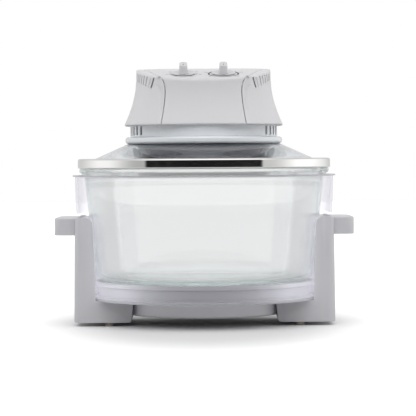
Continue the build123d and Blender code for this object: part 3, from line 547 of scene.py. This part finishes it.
collar = turned("vent_collar_moulding", [
    (collar_in_r, ring_top, 0.0003), (collar_r, ring_top, 0.0005), (collar_r, collar_top, 0.0006),
    (collar_in_r, collar_top, 0.0003),
], steps=180)


def bar(size, place, rounding=0.0, segments=1):
    """Block of a size at a place, with its edges rounded."""
    bpy.ops.mesh.primitive_cube_add(size=1, location=place)
    block = bpy.context.object
    block.scale = size
    bpy.ops.object.transform_apply(location=True, rotation=True, scale=True)
    if rounding:
        edit(block)
        bpy.ops.mesh.bevel(affect="EDGES", offset=rounding, segments=segments)
        bpy.ops.object.mode_set(mode="OBJECT")
    return block


slot_pitch, slots_a_side = 6.6, 11
cutter = bar((0.008, 0.0046, 0.0112), (0.0911, 0, 0.24148), 0.0007, 2)
slots = []
for side in (0, math.pi):
    for index in range(slots_a_side):
        slot = shifted(cutter, "collar_slot", 0, 0)
        slot.rotation_euler.z = side + math.radians((index - slots_a_side // 2) * slot_pitch)
        slots.append(slot)
bpy.data.objects.remove(cutter)


def cut(piece, tools, solver="EXACT"):
    """Cuts a piece with several closed tools at once and removes the tools."""
    bpy.ops.object.select_all(action="DESELECT")
    for tool in tools:
        tool.select_set(True)
    bpy.context.view_layer.objects.active = tools[0]
    if len(tools) > 1:
        bpy.ops.object.join()
    cutting = piece.modifiers.new("openings", "BOOLEAN")
    cutting.operation, cutting.solver, cutting.object = "DIFFERENCE", solver, tools[0]
    alone(piece)
    bpy.ops.object.modifier_apply(modifier="openings")
    bpy.data.objects.remove(tools[0])


cut(collar, slots)
smooth(collar)
icy.on(ring, collar)
settle([ring], "lid", ["clamp_ring"])
settle([collar], "lid", ["vent_collar"])

# ---- Head covers ----
# Three satin grey-white mouldings close the head: a centre cover with the sloped control panel, and a
# shoulder at each side with slanted vents. They meet in rounded seams and are screwed from below.
skirt_z, cap_z, crest_z, crest_y = 0.24863, 0.30233, 0.32003, -0.014
recess_z, recess_in = 0.3033, 0.0065  # room for the folded handle
panel_tilt, back_fall = math.radians(13), math.radians(1.4)
panel_slope, back_slope = math.tan(panel_tilt), math.tan(back_fall)
cap_half, skirt_spread, less_deep = 0.0849, 0.015, 0.003
squareness = 2.5  # power of the rounded oblong that every level of the head follows
seam_limit = 0.0755
seam_points = [(-0.012, 0.0529), (-0.001, 0.0523), (0.0165, 0.0495), (0.0315, 0.0475), (0.0431, 0.0472),
               (0.0508, 0.0485), (0.0570, 0.0521), (0.0626, 0.0600), (0.0668, 0.0680), (0.0700, 0.0760),
               (0.0800, 0.0880)]


def seam_at(z):
    """Distance of the seam from the middle, at a height, on a smooth curve through its points."""
    rise = z - skirt_z
    for i in range(1, len(seam_points) - 2):
        (r0, s0), (r1, s1), (r2, s2), (r3, s3) = seam_points[i - 1:i + 3]
        if rise <= r2:
            break
    t = (rise - r1) / (r2 - r1)
    m1, m2 = (s2 - s0) / (r2 - r0) * (r2 - r1), (s3 - s1) / (r3 - r1) * (r2 - r1)
    across = ((2 * t**3 - 3 * t**2 + 1) * s1 + (t**3 - 2 * t**2 + t) * m1
              + (3 * t**2 - 2 * t**3) * s2 + (t**3 - t**2) * m2)
    return min(across, seam_limit)


def clipped(value):
    return min(1.0, max(0.0, value))


def half_width(z, inwards=0.0):
    """Half the head's width at a height: flared at the skirt, and hardly leaning above the cap."""
    swell = max(0.0, (cap_z - z) / (cap_z - skirt_z))
    return cap_half + skirt_spread * swell**1.73 - 0.0006 * clipped((z - cap_z) / 0.04) - inwards


def wall_y(x, z, inwards=0.0):
    """Depth of the head's wall from the middle, at one place across it."""
    a = half_width(z, inwards)
    return (a - less_deep) * max(0.0, 1 - (min(abs(x), a) / a) ** squareness) ** (1 / squareness)


def top_z(x, y):
    """Height of the head's top: the sloped panel, the back and the slight crown across."""
    panel, back = crest_z + (y - crest_y) * panel_slope, crest_z - (y - crest_y) * back_slope
    crown = crest_z + 0.0008 - 0.0050 * (x / 0.12) ** 2
    level = (panel + back - math.hypot(panel - back, 0.0014)) / 2
    return (level + crown - math.hypot(level - crown, 0.0006)) / 2


rough_top, tries = 0.31, 30  # a first guess at the top's height, and how often it is bettered


def meeting(across, front, inwards=0.0):
    """Height where the wall meets the top, for a column that stands across(z) from the middle."""
    z = rough_top
    for _ in range(tries):
        x = across(z)
        z = top_z(x, (-1 if front else 1) * wall_y(x, z, inwards))
    return z


def steps(low, high, count):
    return [low + (high - low) * i / (count - 1) for i in range(count)]


def arc(a, corner, b, count):
    """Points of a smooth bend from a to b round a corner, without its ends."""
    return [tuple((1 - t) ** 2 * p + 2 * t * (1 - t) * q + t * t * r for p, q, r in zip(a, corner, b))
            for t in steps(0, 1, count + 2)[1:-1]]


def laid(name, rows):
    """Grid whose vertices are laid on the given rows of points."""
    across, along = len(rows[0]), len(rows)
    bpy.ops.mesh.primitive_grid_add(x_subdivisions=across - 1, y_subdivisions=along - 1, size=1)
    piece = bpy.context.object
    piece.name = piece.data.name = name
    places = []
    for vertex in piece.data.vertices:
        i = round((vertex.co.x + 0.5) * (across - 1))
        j = round((vertex.co.y + 0.5) * (along - 1))
        places.append((j, i))
        vertex.co = rows[j][i]
    piece.data.update()
    return piece, places


def sunk(piece, places, depths, outward):
    """Presses each vertex in along its normal by its own depth."""
    middle = min(piece.data.vertices, key=lambda v: (v.co - Vector(outward[0])).length)
    sign = 1 if middle.normal.dot(Vector(outward[1])) > 0 else -1
    moves = [-sign * depths[j][i] * vertex.normal for vertex, (j, i) in zip(piece.data.vertices, places)]
    for vertex, move in zip(piece.data.vertices, moves):
        vertex.co += move
    if sign < 0:
        edit(piece)
        bpy.ops.mesh.flip_normals()
        bpy.ops.object.mode_set(mode="OBJECT")


def cover(name, columns, outward, thickness):
    """Moulding whose outside is laid on columns of points, each column with its depths."""
    rows = [list(row) for row in zip(*[points for points, _ in columns])]
    depths = [list(row) for row in zip(*[deeper for _, deeper in columns])]
    piece, places = laid(name, rows)
    sunk(piece, places, depths, outward)
    wall = piece.modifiers.new("wall", "SOLIDIFY")
    wall.thickness, wall.offset = thickness, -1.0
    alone(piece)
    bpy.ops.object.modifier_apply(modifier="wall")
    return piece


seam_half, roll, foot_round = 0.00035, 0.0010, 0.0016
near = [seam_half, 0.0005, 0.0007, 0.00095, 0.0014, 0.0021, 0.0032, 0.0048]


def rolled(distance):
    """How far the rounded edge of a cover falls away beside a seam."""
    reach = max(0.0, seam_half + roll - distance)
    return roll - math.sqrt(max(0.0, roll**2 - reach**2))


def foot_roll(z):
    """How far the skirt's rounded lower edge falls away at a height."""
    reach = max(0.0, skirt_z + foot_round - z)
    return foot_round - math.sqrt(max(0.0, foot_round**2 - reach**2))


low_rises = [0.0, 0.0002, 0.0005, 0.0009, 0.0016, 0.0030]
wall_z = skirt_z + 0.0045  # even steps start here, above the low rises
fold = 0.0038  # reach of the bend between wall and top
groove = [  # down the step into the handle's groove: height, and how far inwards
    (recess_z + 0.0003, recess_in), (recess_z, recess_in - 0.0004), (recess_z, 0.0007),
    (recess_z - 0.0002, 0.0002),
]


def centre_column(across, distance):
    """Points down one column of the centre cover, from the front skirt over the top to the back."""
    front_z, back_z = meeting(across, True), meeting(across, False, recess_in)
    points = [(across(z), -wall_y(across(z), z), z)
              for z in [skirt_z + r for r in low_rises] + steps(wall_z, front_z - fold, 30)]
    x, y = across(front_z), -wall_y(across(front_z), front_z)
    back_x, back_y = across(back_z), wall_y(across(back_z), back_z, recess_in)

    def on_top(at_y):
        z = 0.315
        for _ in range(12):
            z = top_z(across(z), at_y)
        return across(z), at_y, z

    first, last = on_top(y + fold), on_top(back_y - 0.003)
    points += arc(points[-1], (x, y, front_z), first, 6)
    points += [first] + [on_top(v) for v in steps(y + fold + 0.003, crest_y - 0.008, 16)]
    points += [on_top(v) for v in steps(crest_y - 0.006, crest_y + 0.006, 7)]
    points += [on_top(v) for v in steps(crest_y + 0.010, back_y - 0.006, 16)] + [last]
    z = back_z - 0.003
    down = (across(z), wall_y(across(z), z, recess_in), z)
    points += arc(last, (back_x, back_y, back_z), down, 4) + [down]
    above, below = recess_z + 0.0027, recess_z - 0.0007
    points += [(across(h), wall_y(across(h), h, recess_in), h) for h in steps(z, above, 7)[1:-1]]
    for z, inwards in [(above, recess_in), *groove, (below, 0.0)]:
        points.append((across(z), wall_y(across(z), z, inwards), z))
    for z in steps(recess_z - 0.0028, wall_z, 26) + [skirt_z + r for r in reversed(low_rises)]:
        points.append((across(z), wall_y(across(z), z), z))
    return points, [rolled(distance) + foot_roll(point[2]) for point in points]


far_off = 0.02  # any distance at which a seam has no effect
centre_columns = [centre_column(lambda z, d=d: seam_at(z) - d, d) for d in near]
centre_columns += [centre_column(lambda z, u=share: (seam_at(z) - near[-1]) * u, far_off)
                   for share in steps(1, -1, 41)[1:-1]]
centre_columns += [centre_column(lambda z, d=d: d - seam_at(z), d) for d in reversed(near)]
centre = cover("centre_cover_moulding", centre_columns, ((0, -0.087, 0.28), (0, -1, 0)), 0.0024)
smooth(centre, 40)


def dent(h, gap):
    """Depth of the soft valley that runs beside the seam and draws away from it above and below."""
    line = 0.0034 - 0.0014 * max(0.0, (0.272 - h) / 0.0134) + 0.0023 * max(0.0, (h - 0.272) / 0.020)
    line += 0.0058 * max(0.0, (h - 0.292) / 0.0106) ** 1.3
    fade = clipped((h - 0.254) / 0.012) * clipped((0.2985 - h) / 0.008)
    return 0.0015 * fade * math.exp(-((gap - line) / (0.0012 + 0.16 * line)) ** 2)


def shoulder_column(place, distance, recessed):
    """Points up one column of the right shoulder, then across its top to the seam.

    place(z, inwards) gives the column's x and y on the wall at a height."""
    inwards = recess_in if recessed else 0.0
    z = rough_top
    for _ in range(tries):
        z = top_z(*place(z, inwards))
    below = recess_z - 0.0007
    heights = [skirt_z + r for r in low_rises] + steps(wall_z, below, 48)
    step = reversed(groove) if recessed else [(below + 0.0001 * i, 0.0) for i in range(1, 5)]
    points = [(*place(h, 0.0), h) for h in heights] + [(*place(h, deep), h) for h, deep in step]
    corner = (*place(z, inwards), z)
    edge = seam_at(top_z(corner[0], corner[1]))
    for _ in range(12):
        edge = seam_at(top_z(edge, corner[1]))
    edge += seam_half
    width = max(0.0, corner[0] - edge)
    bend = min(fold, width * 0.5)
    side = (*place(z - bend, inwards), z - bend)
    points += [(*place(h, inwards), h) for h in steps(points[-1][2], z - bend, 7)[1:]]
    inner_x = corner[0] - bend
    top = (inner_x, corner[1], top_z(inner_x, corner[1]))
    points += arc(side, corner, top, 6)
    gaps = [distance] * len(points)
    for share in (1.0, 0.8, 0.6, 0.42, 0.28, 0.18, 0.1, 0.05, 0.0):
        gap = (inner_x - edge) * share
        x = edge + max(gap, 0.0)
        points.append((x, corner[1], top_z(x, corner[1])))
        gaps.append(min(distance, seam_half + max(gap, 0.0)))
    deeper = []
    for (_, _, h), gap in zip(points, gaps):
        deeper.append(rolled(gap) + foot_roll(h) + dent(h, gap))
    return points, deeper


beside_reach, seam_top = 0.016, 0.304  # width of the strip beside a seam, and where its far side stops


def gathered(z, front):
    """How far the columns draw in to the seam as it sweeps out towards the top."""
    if front:
        return min(1.0, max(0.02, (seam_at(seam_top) + beside_reach - seam_at(z)) / beside_reach))
    return 1 - 0.92 * clipped((z - 0.3034) / 0.0146)


def beside_seam(distance, front):
    def place(z, inwards):
        x = seam_at(z) + distance * gathered(z, front)
        return x, (-1 if front else 1) * wall_y(x, z, inwards)
    return place


def round_side(turn):
    """Column at a share of the way round, from -1 beside the front seam to 1 beside the back one."""
    def place(z, inwards):
        a = half_width(z, inwards)
        reach = seam_at(min(z, seam_top)) + beside_reach
        if turn > 0:
            reach = seam_at(z) + beside_reach * gathered(z, False)
        angle = turn * math.acos(min(1.0, reach / a) ** (squareness / 2))
        x = a * math.cos(angle) ** (2 / squareness)
        y = (a - less_deep) * math.copysign(abs(math.sin(angle)) ** (2 / squareness), angle)
        return x, y
    return place


beside = near + [0.0057 + 0.0009 * i for i in range(10)] + [0.0148, 0.0158]
last_turn, step_turn = 0.985, -0.2165  # shares of the way round, at the seams and where the groove ends
shoulder_columns = [shoulder_column(beside_seam(d, True), d, False) for d in beside]
shoulder_columns += [shoulder_column(round_side(t), far_off, False) for t in steps(-last_turn, step_turn, 34)]
shoulder_columns += [shoulder_column(round_side(t), far_off, True)
                     for t in [step_turn + 0.0004] + steps(step_turn + 0.02, last_turn, 44)]
shoulder_columns += [shoulder_column(beside_seam(d, False), d, True) for d in reversed(beside)]
right = cover("right_shoulder_moulding", shoulder_columns, ((0.098, 0, 0.26), (1, 0, 0)), 0.0022)
cap_x, cap_y = 0.0843, 0.0813  # the oblong at the cap
vent_count, vent_start, vent_pitch = 8, -47.0, 4.6
vents = []
for index in range(vent_count):
    turn = math.radians(vent_start + vent_pitch * index)
    x = cap_x * math.cos(turn) ** (2 / squareness)
    y = -cap_y * abs(math.sin(turn)) ** (2 / squareness)
    power = squareness - 1
    out = Vector(((x / cap_x) ** power / cap_x, -((abs(y) / cap_y) ** power) / cap_y, 0)).normalized()
    vent = bar((0.0021, 0.0034, 0.0136 - 0.0006 * index), (0, 0, 0), 0.0007, 3)
    lean = math.radians(1.2 * index - 19.0)
    across = Vector((-out.y, out.x, 0))
    upright = (Vector((0, 0, 1)) * math.cos(lean) + across * math.sin(lean)).normalized()
    thin = upright.cross(out).normalized()
    middle = Vector((x, y, skirt_z + 0.0512 + 0.0012 * index))
    for vertex in vent.data.vertices:
        c = vertex.co.copy()
        vertex.co = middle + thin * c.x + out * c.y + upright * c.z
    edit(vent)
    bpy.ops.mesh.normals_make_consistent(inside=False)
    bpy.ops.object.mode_set(mode="OBJECT")
    vents.append(vent)
cut(right, vents, "FAST")
smooth(right, 40)
left = shifted(right, "left_shoulder_moulding", 0, 0)
for vertex in left.data.vertices:
    vertex.co.x = -vertex.co.x
edit(left)
bpy.ops.mesh.flip_normals()
bpy.ops.object.mode_set(mode="OBJECT")
satin = Coat("satin_cover", (0.69, 0.685, 0.70), Roughness=0.42)
tone, wear = satin.noise(12.0, 2.0), satin.noise(300.0, 4.0)
satin.vary(tone, (0.675, 0.67, 0.685), (0.705, 0.70, 0.715), wear, 0.14, 0.38)
satin.bump(satin.noise(2200.0, 2.0), 0.00012, 0.22)
satin.on(centre, left, right)
settle([centre], "lid", ["centre_cover"])
settle([left], "lid", ["left_shoulder"])
settle([right], "lid", ["right_shoulder"])

# ---- Folding carry handle ----
# A flat bail in the same satin plastic. It folds down into a groove round the back of the cap and
# swings up on two steel pins; its ends are rounded eyes.
bail_low, bail_high, bail_thick = 0.30363, 0.31803, 0.0058
pivot_y, pivot_z = -0.014, 0.31083
eye_r, thinnest = (bail_high - bail_low) / 2, 0.0004
bar_section = [  # share of the thickness from outside, share of the height
    (0, 0.07), (0, 0.93), (0.04, 0.98), (0.14, 1), (0.86, 1), (0.96, 0.98), (1, 0.93),
    (1, 0.07), (0.96, 0.02), (0.86, 0), (0.14, 0), (0.04, 0.02), (0, 0.07),
]


def bail_ring(share_x, share_y, half=eye_r, front=None):
    """Section of the bail at a share of the cap's oblong, or straight across it at one depth."""
    ring = []
    for inwards, rise in bar_section:
        x = (cap_x - bail_thick * inwards) * share_x
        y = (cap_y - bail_thick * inwards) * share_y
        ring.append((x, y if front is None else front, pivot_z + half * (2 * rise - 1)))
    return ring


def bail_arm(side):
    """Sections of one arm, from the tip of its eye back to where the bend starts."""
    arm = [(pivot_y + eye_r * math.sin(t), max(eye_r * math.cos(t), thinnest))
           for t in steps(-math.pi / 2, 0, 10)]
    arm += [(-0.009, eye_r), (-0.004, eye_r)]
    return [bail_ring(side * (1 - abs(y / cap_y) ** squareness) ** (1 / squareness), 0, half, y)
            for y, half in arm]


bail_rows = bail_arm(-1)
for turn in steps(-1, 1, 97)[1:-1]:
    angle = turn * math.pi / 2
    across = math.copysign(abs(math.sin(angle)) ** (2 / squareness), angle)
    bail_rows.append(bail_ring(across, abs(math.cos(angle)) ** (2 / squareness)))
bail_rows += reversed(bail_arm(1))
bail, _ = laid("carry_handle_moulding", bail_rows)
edit(bail)
bpy.ops.mesh.remove_doubles(threshold=1e-6)
bpy.ops.mesh.select_all(action="DESELECT")
bpy.ops.mesh.select_non_manifold()
bpy.ops.mesh.edge_face_add()
bpy.ops.mesh.select_all(action="SELECT")
bpy.ops.mesh.normals_make_consistent(inside=False)
smooth(bail, 40)
satin.on(bail)
settle([bail], "bail", ["carry_handle"])

# ---- Knobs ----
# Two pale grey knobs with a round skirt and an upright blade to turn them by, pushed on steel
# spindles square to the sloped panel. A dark line on the blade points at the print.
knob_grey = Coat("knob_moulding", (0.62, 0.62, 0.64), Roughness=0.32, Coat_Weight=0.2, Coat_Roughness=0.15)
fleck, wear = knob_grey.noise(80.0, 3.0), knob_grey.noise(400.0, 3.0)
knob_grey.vary(fleck, (0.60, 0.60, 0.62), (0.64, 0.64, 0.66), wear, 0.14, 0.26)
knob_grey.bump(knob_grey.noise(1800.0, 2.0), 0.0001, 0.15)
ink = Coat("dark_print", (0.03, 0.03, 0.035), Roughness=0.5)
ink.feed(Roughness=ink.noise(800.0) * 0.2 + 0.4)
knob_x, knob_y = 0.0248, -0.052
knob_z = crest_z + (knob_y - crest_y) * panel_slope


def set_on_panel(piece, side):
    """Moves what was made round the origin to one knob's place, square to the panel."""
    for vertex in piece.data.vertices:
        x, y, z = vertex.co
        vertex.co = (
            x + side * knob_x,
            y * math.cos(panel_tilt) - z * math.sin(panel_tilt) + knob_y,
            y * math.sin(panel_tilt) + z * math.cos(panel_tilt) + knob_z,
        )


knob_low, knob_bore, blade_foot, blade_top = 0.0005, 0.0040, 0.0026, 0.0130
knob_skirt = turned("knob_skirt", [
    (knob_bore, knob_low, 0.0002), (0.0146, knob_low, 0.0003), (0.0150, 0.0014, 0.0004),
    (0.0138, 0.0021, 0.0009), (knob_bore, 0.0021, 0.0003),
], steps=80)
blade = turned("knob_blade", [
    (0, 0.0016, 0), (0.0072, 0.0018, 0), (0.0054, blade_foot, 0.0014), (0.0047, 0.0127, 0.0014),
    (0, blade_top, 0),
], steps=56)
for vertex in blade.data.vertices:
    stretch = 0.0092 if vertex.co.z > blade_foot - 0.0001 else 0.0068
    if abs(vertex.co.y) > same_place / 2:
        vertex.co.y += math.copysign(stretch, vertex.co.y)
pointer = bar((0.0008, 0.0060, 0.0004), (0, -0.0060, blade_top - 0.0001), 0.0001)
pointer.name = pointer.data.name = "knob_pointer"
for side, name in ((-1, "timer"), (1, "thermostat")):
    made = [shifted(part, f"{name}_{part.name}", 0, 0) for part in (knob_skirt, blade, pointer)]
    for part in made:
        set_on_panel(part, side)
    knob_grey.on(*made[:2])
    ink.on(made[2])
    settle(made, f"{name}_dial", [f"{name}_knob"])
for part in (knob_skirt, blade, pointer):
    bpy.data.objects.remove(part)

# ---- Print round the knobs ----
# Scales printed on the panel: fine grey ticks with minutes round the timer, and a dark ring that
# thickens towards the back, with degrees, round the thermostat.
print_grey = Coat("grey_print", (0.30, 0.30, 0.32), Roughness=0.5)
print_grey.feed(Roughness=print_grey.noise(800.0) * 0.2 + 0.4)


def printed(mark, side, coat):
    """Lays a mark on the panel round one knob, in an ink."""
    set_on_panel(mark, side)
    coat.on(mark)
    settle([mark], "lid")


def number(figures, radius, angle, side):
    """Figures printed beside a knob, at an angle round it, upright to someone in front."""
    bpy.ops.object.text_add(location=(0, 0, 0))
    text = bpy.context.object
    text.data.body, text.data.size, text.data.extrude = str(figures), figure_size, ink_film
    text.data.align_x, text.data.align_y = "CENTER", "CENTER"
    text.data.resolution_u = 2
    alone(text)
    bpy.ops.object.convert(target="MESH")
    text.location = (radius * math.cos(angle), radius * math.sin(angle), 0.00005)
    bpy.ops.object.transform_apply(location=True, rotation=True, scale=True)
    text.name = text.data.name = f"{'timer' if side < 0 else 'thermostat'}_figure_{figures}"
    printed(text, side, print_grey)


figure_size, ink_film = 0.0036, 0.00003
timer_start, timer_sweep, tick_count, ticks_a_figure = 240, 300, 31, 5
for index in range(tick_count):
    angle = math.radians(timer_start - timer_sweep * index / (tick_count - 1))
    long = index % ticks_a_figure == 0
    if long:
        tick = bar((0.0026, 0.0007, 2 * ink_film), (0.0170, 0, 0.00004))
    else:
        tick = bar((0.0016, 0.0004, 2 * ink_film), (0.0165, 0, 0.00004))
    tick.rotation_euler.z = angle
    tick.name = tick.data.name = f"timer_tick_{index}"
    bpy.ops.object.transform_apply(location=True, rotation=True, scale=True)
    printed(tick, -1, print_grey)
    if long:
        number(10 * index // ticks_a_figure, 0.0212, angle, -1)
band_in, band_out, band_low, band_high = 0.0174, 0.0194, 0.00002, 0.00010
dark_ring = turned("thermostat_print", [
    (band_in, band_low, 0), (band_out, band_low, 0), (band_out, band_high, 0), (band_in, band_high, 0),
], steps=96)
for vertex in dark_ring.data.vertices:
    if math.hypot(vertex.co.x, vertex.co.y) < (band_in + band_out) / 2:
        vertex.co.y -= 0.0010
printed(dark_ring, 1, ink)
thermostat_start, thermostat_step = 225, 67.5
for index, degrees in enumerate((65, 100, 150, 200, 250)):
    number(degrees, 0.0236, math.radians(thermostat_start - thermostat_step * index), 1)

# ---- Floor, light and camera ----
# The oven stands on a plain pale floor, which the camera sees glow white some way out; nearer the oven
# the glow fades out, so its real shadow shows and the floor round it is painted darker. Soft light comes
# from above and from all round, except for a dark gap in front that the polished steel shows.
bpy.ops.mesh.primitive_plane_add(size=14, location=(0, 0, 0))
floor = bpy.context.object
floor.name = "floor"
paper = Coat("pale_floor", (0.75, 0.75, 0.75), Roughness=0.6)
paper.shader.inputs["Specular IOR Level"].default_value = 0.2
seen = paper.node("ShaderNodeLightPath", {}, {}, "Is Camera Ray")
# Painted shade round the oven: the floor's white glow for the camera fades out towards it.
away = paper.node("ShaderNodeVectorMath", {"operation": "LENGTH"}, [paper.place((1.5, 0.75, 1))], "Value")
paper.shader.inputs["Emission Strength"].default_value = 1.0
paper.feed(Emission_Color=seen * paper.band(away, 0.17, 0.37) * 0.46)
paper.on(floor)

world = bpy.data.worlds.new("studio")
bpy.context.scene.world = world
world.use_nodes = True
sky = Coat("sky_maths", (1, 1, 1))
bpy.data.materials.remove(sky.material)
sky.material, sky.tree = world, world.node_tree
ray = sky.node("ShaderNodeTexCoord", {}, {}, "Generated")
split = sky.tree.nodes.new("ShaderNodeSeparateXYZ")
sky.tree.links.new(ray.socket, split.inputs[0])
east, north, up = (Wire(sky, split.outputs[i]) for i in range(3))
level = (east * east + north * north + 0.0001).maths("SQRT")
facing = (north * -1.0).maths("DIVIDE", level)  # 1 straight in front of the oven, -1 behind it
behind = facing * -1.0
high = sky.band(up, 0.22, 0.50)
front_gap = sky.band(facing, 0.565, 0.615)
front_top = sky.band(facing, 0.0, 0.6) * sky.band(up, 0.40, 0.60) * (1 - sky.band(up, 0.90, 1.0))
camera_ray = sky.node("ShaderNodeLightPath", {}, {}, "Is Camera Ray")
glass_ray = sky.node("ShaderNodeLightPath", {}, {}, "Is Transmission Ray")
matt_ray = sky.node("ShaderNodeLightPath", {}, {}, "Is Diffuse Ray")
round_about = 0.58 + sky.band(behind, -0.50, 0.16) * 0.67 - sky.band(behind, 0.30, 1.0) * 0.55
round_about = round_about + sky.band(east, 0.3, 0.7) * 0.20
in_gap = matt_ray * (0.12 + sky.band(up, 0.15, 0.30) * 0.38)  # matt pieces still get light from the gap
round_about = round_about * (1 - front_gap * (0.98 - in_gap))
glow = round_about * (1 - high) + high * 0.82 + front_top * 0.9
through = 1 - front_gap * (1 - high) * 0.10
glow = glow * (1 - glass_ray) + through * glass_ray
strength = glow * (1 - camera_ray) + camera_ray  # what the camera sees past the floor is white
background = sky.tree.nodes["Background"]
background.inputs["Color"].default_value = (1, 1, 1, 1)
sky.tree.links.new(strength.socket, background.inputs["Strength"])

camera = bpy.data.cameras.new("camera")
camera.lens, camera.sensor_width = 173.5, 36
camera.clip_start, camera.clip_end = 0.05, 60
eye_point = bpy.data.objects.new("camera", camera)
bpy.context.scene.collection.objects.link(eye_point)
eye_point.location = (0.0, -2.53, 0.206)
eye_point.rotation_euler = (math.radians(90 - 1.397), math.radians(0.35), math.radians(-0.117))
bpy.context.scene.camera = eye_point
bpy.context.scene.view_settings.view_transform = "Standard"
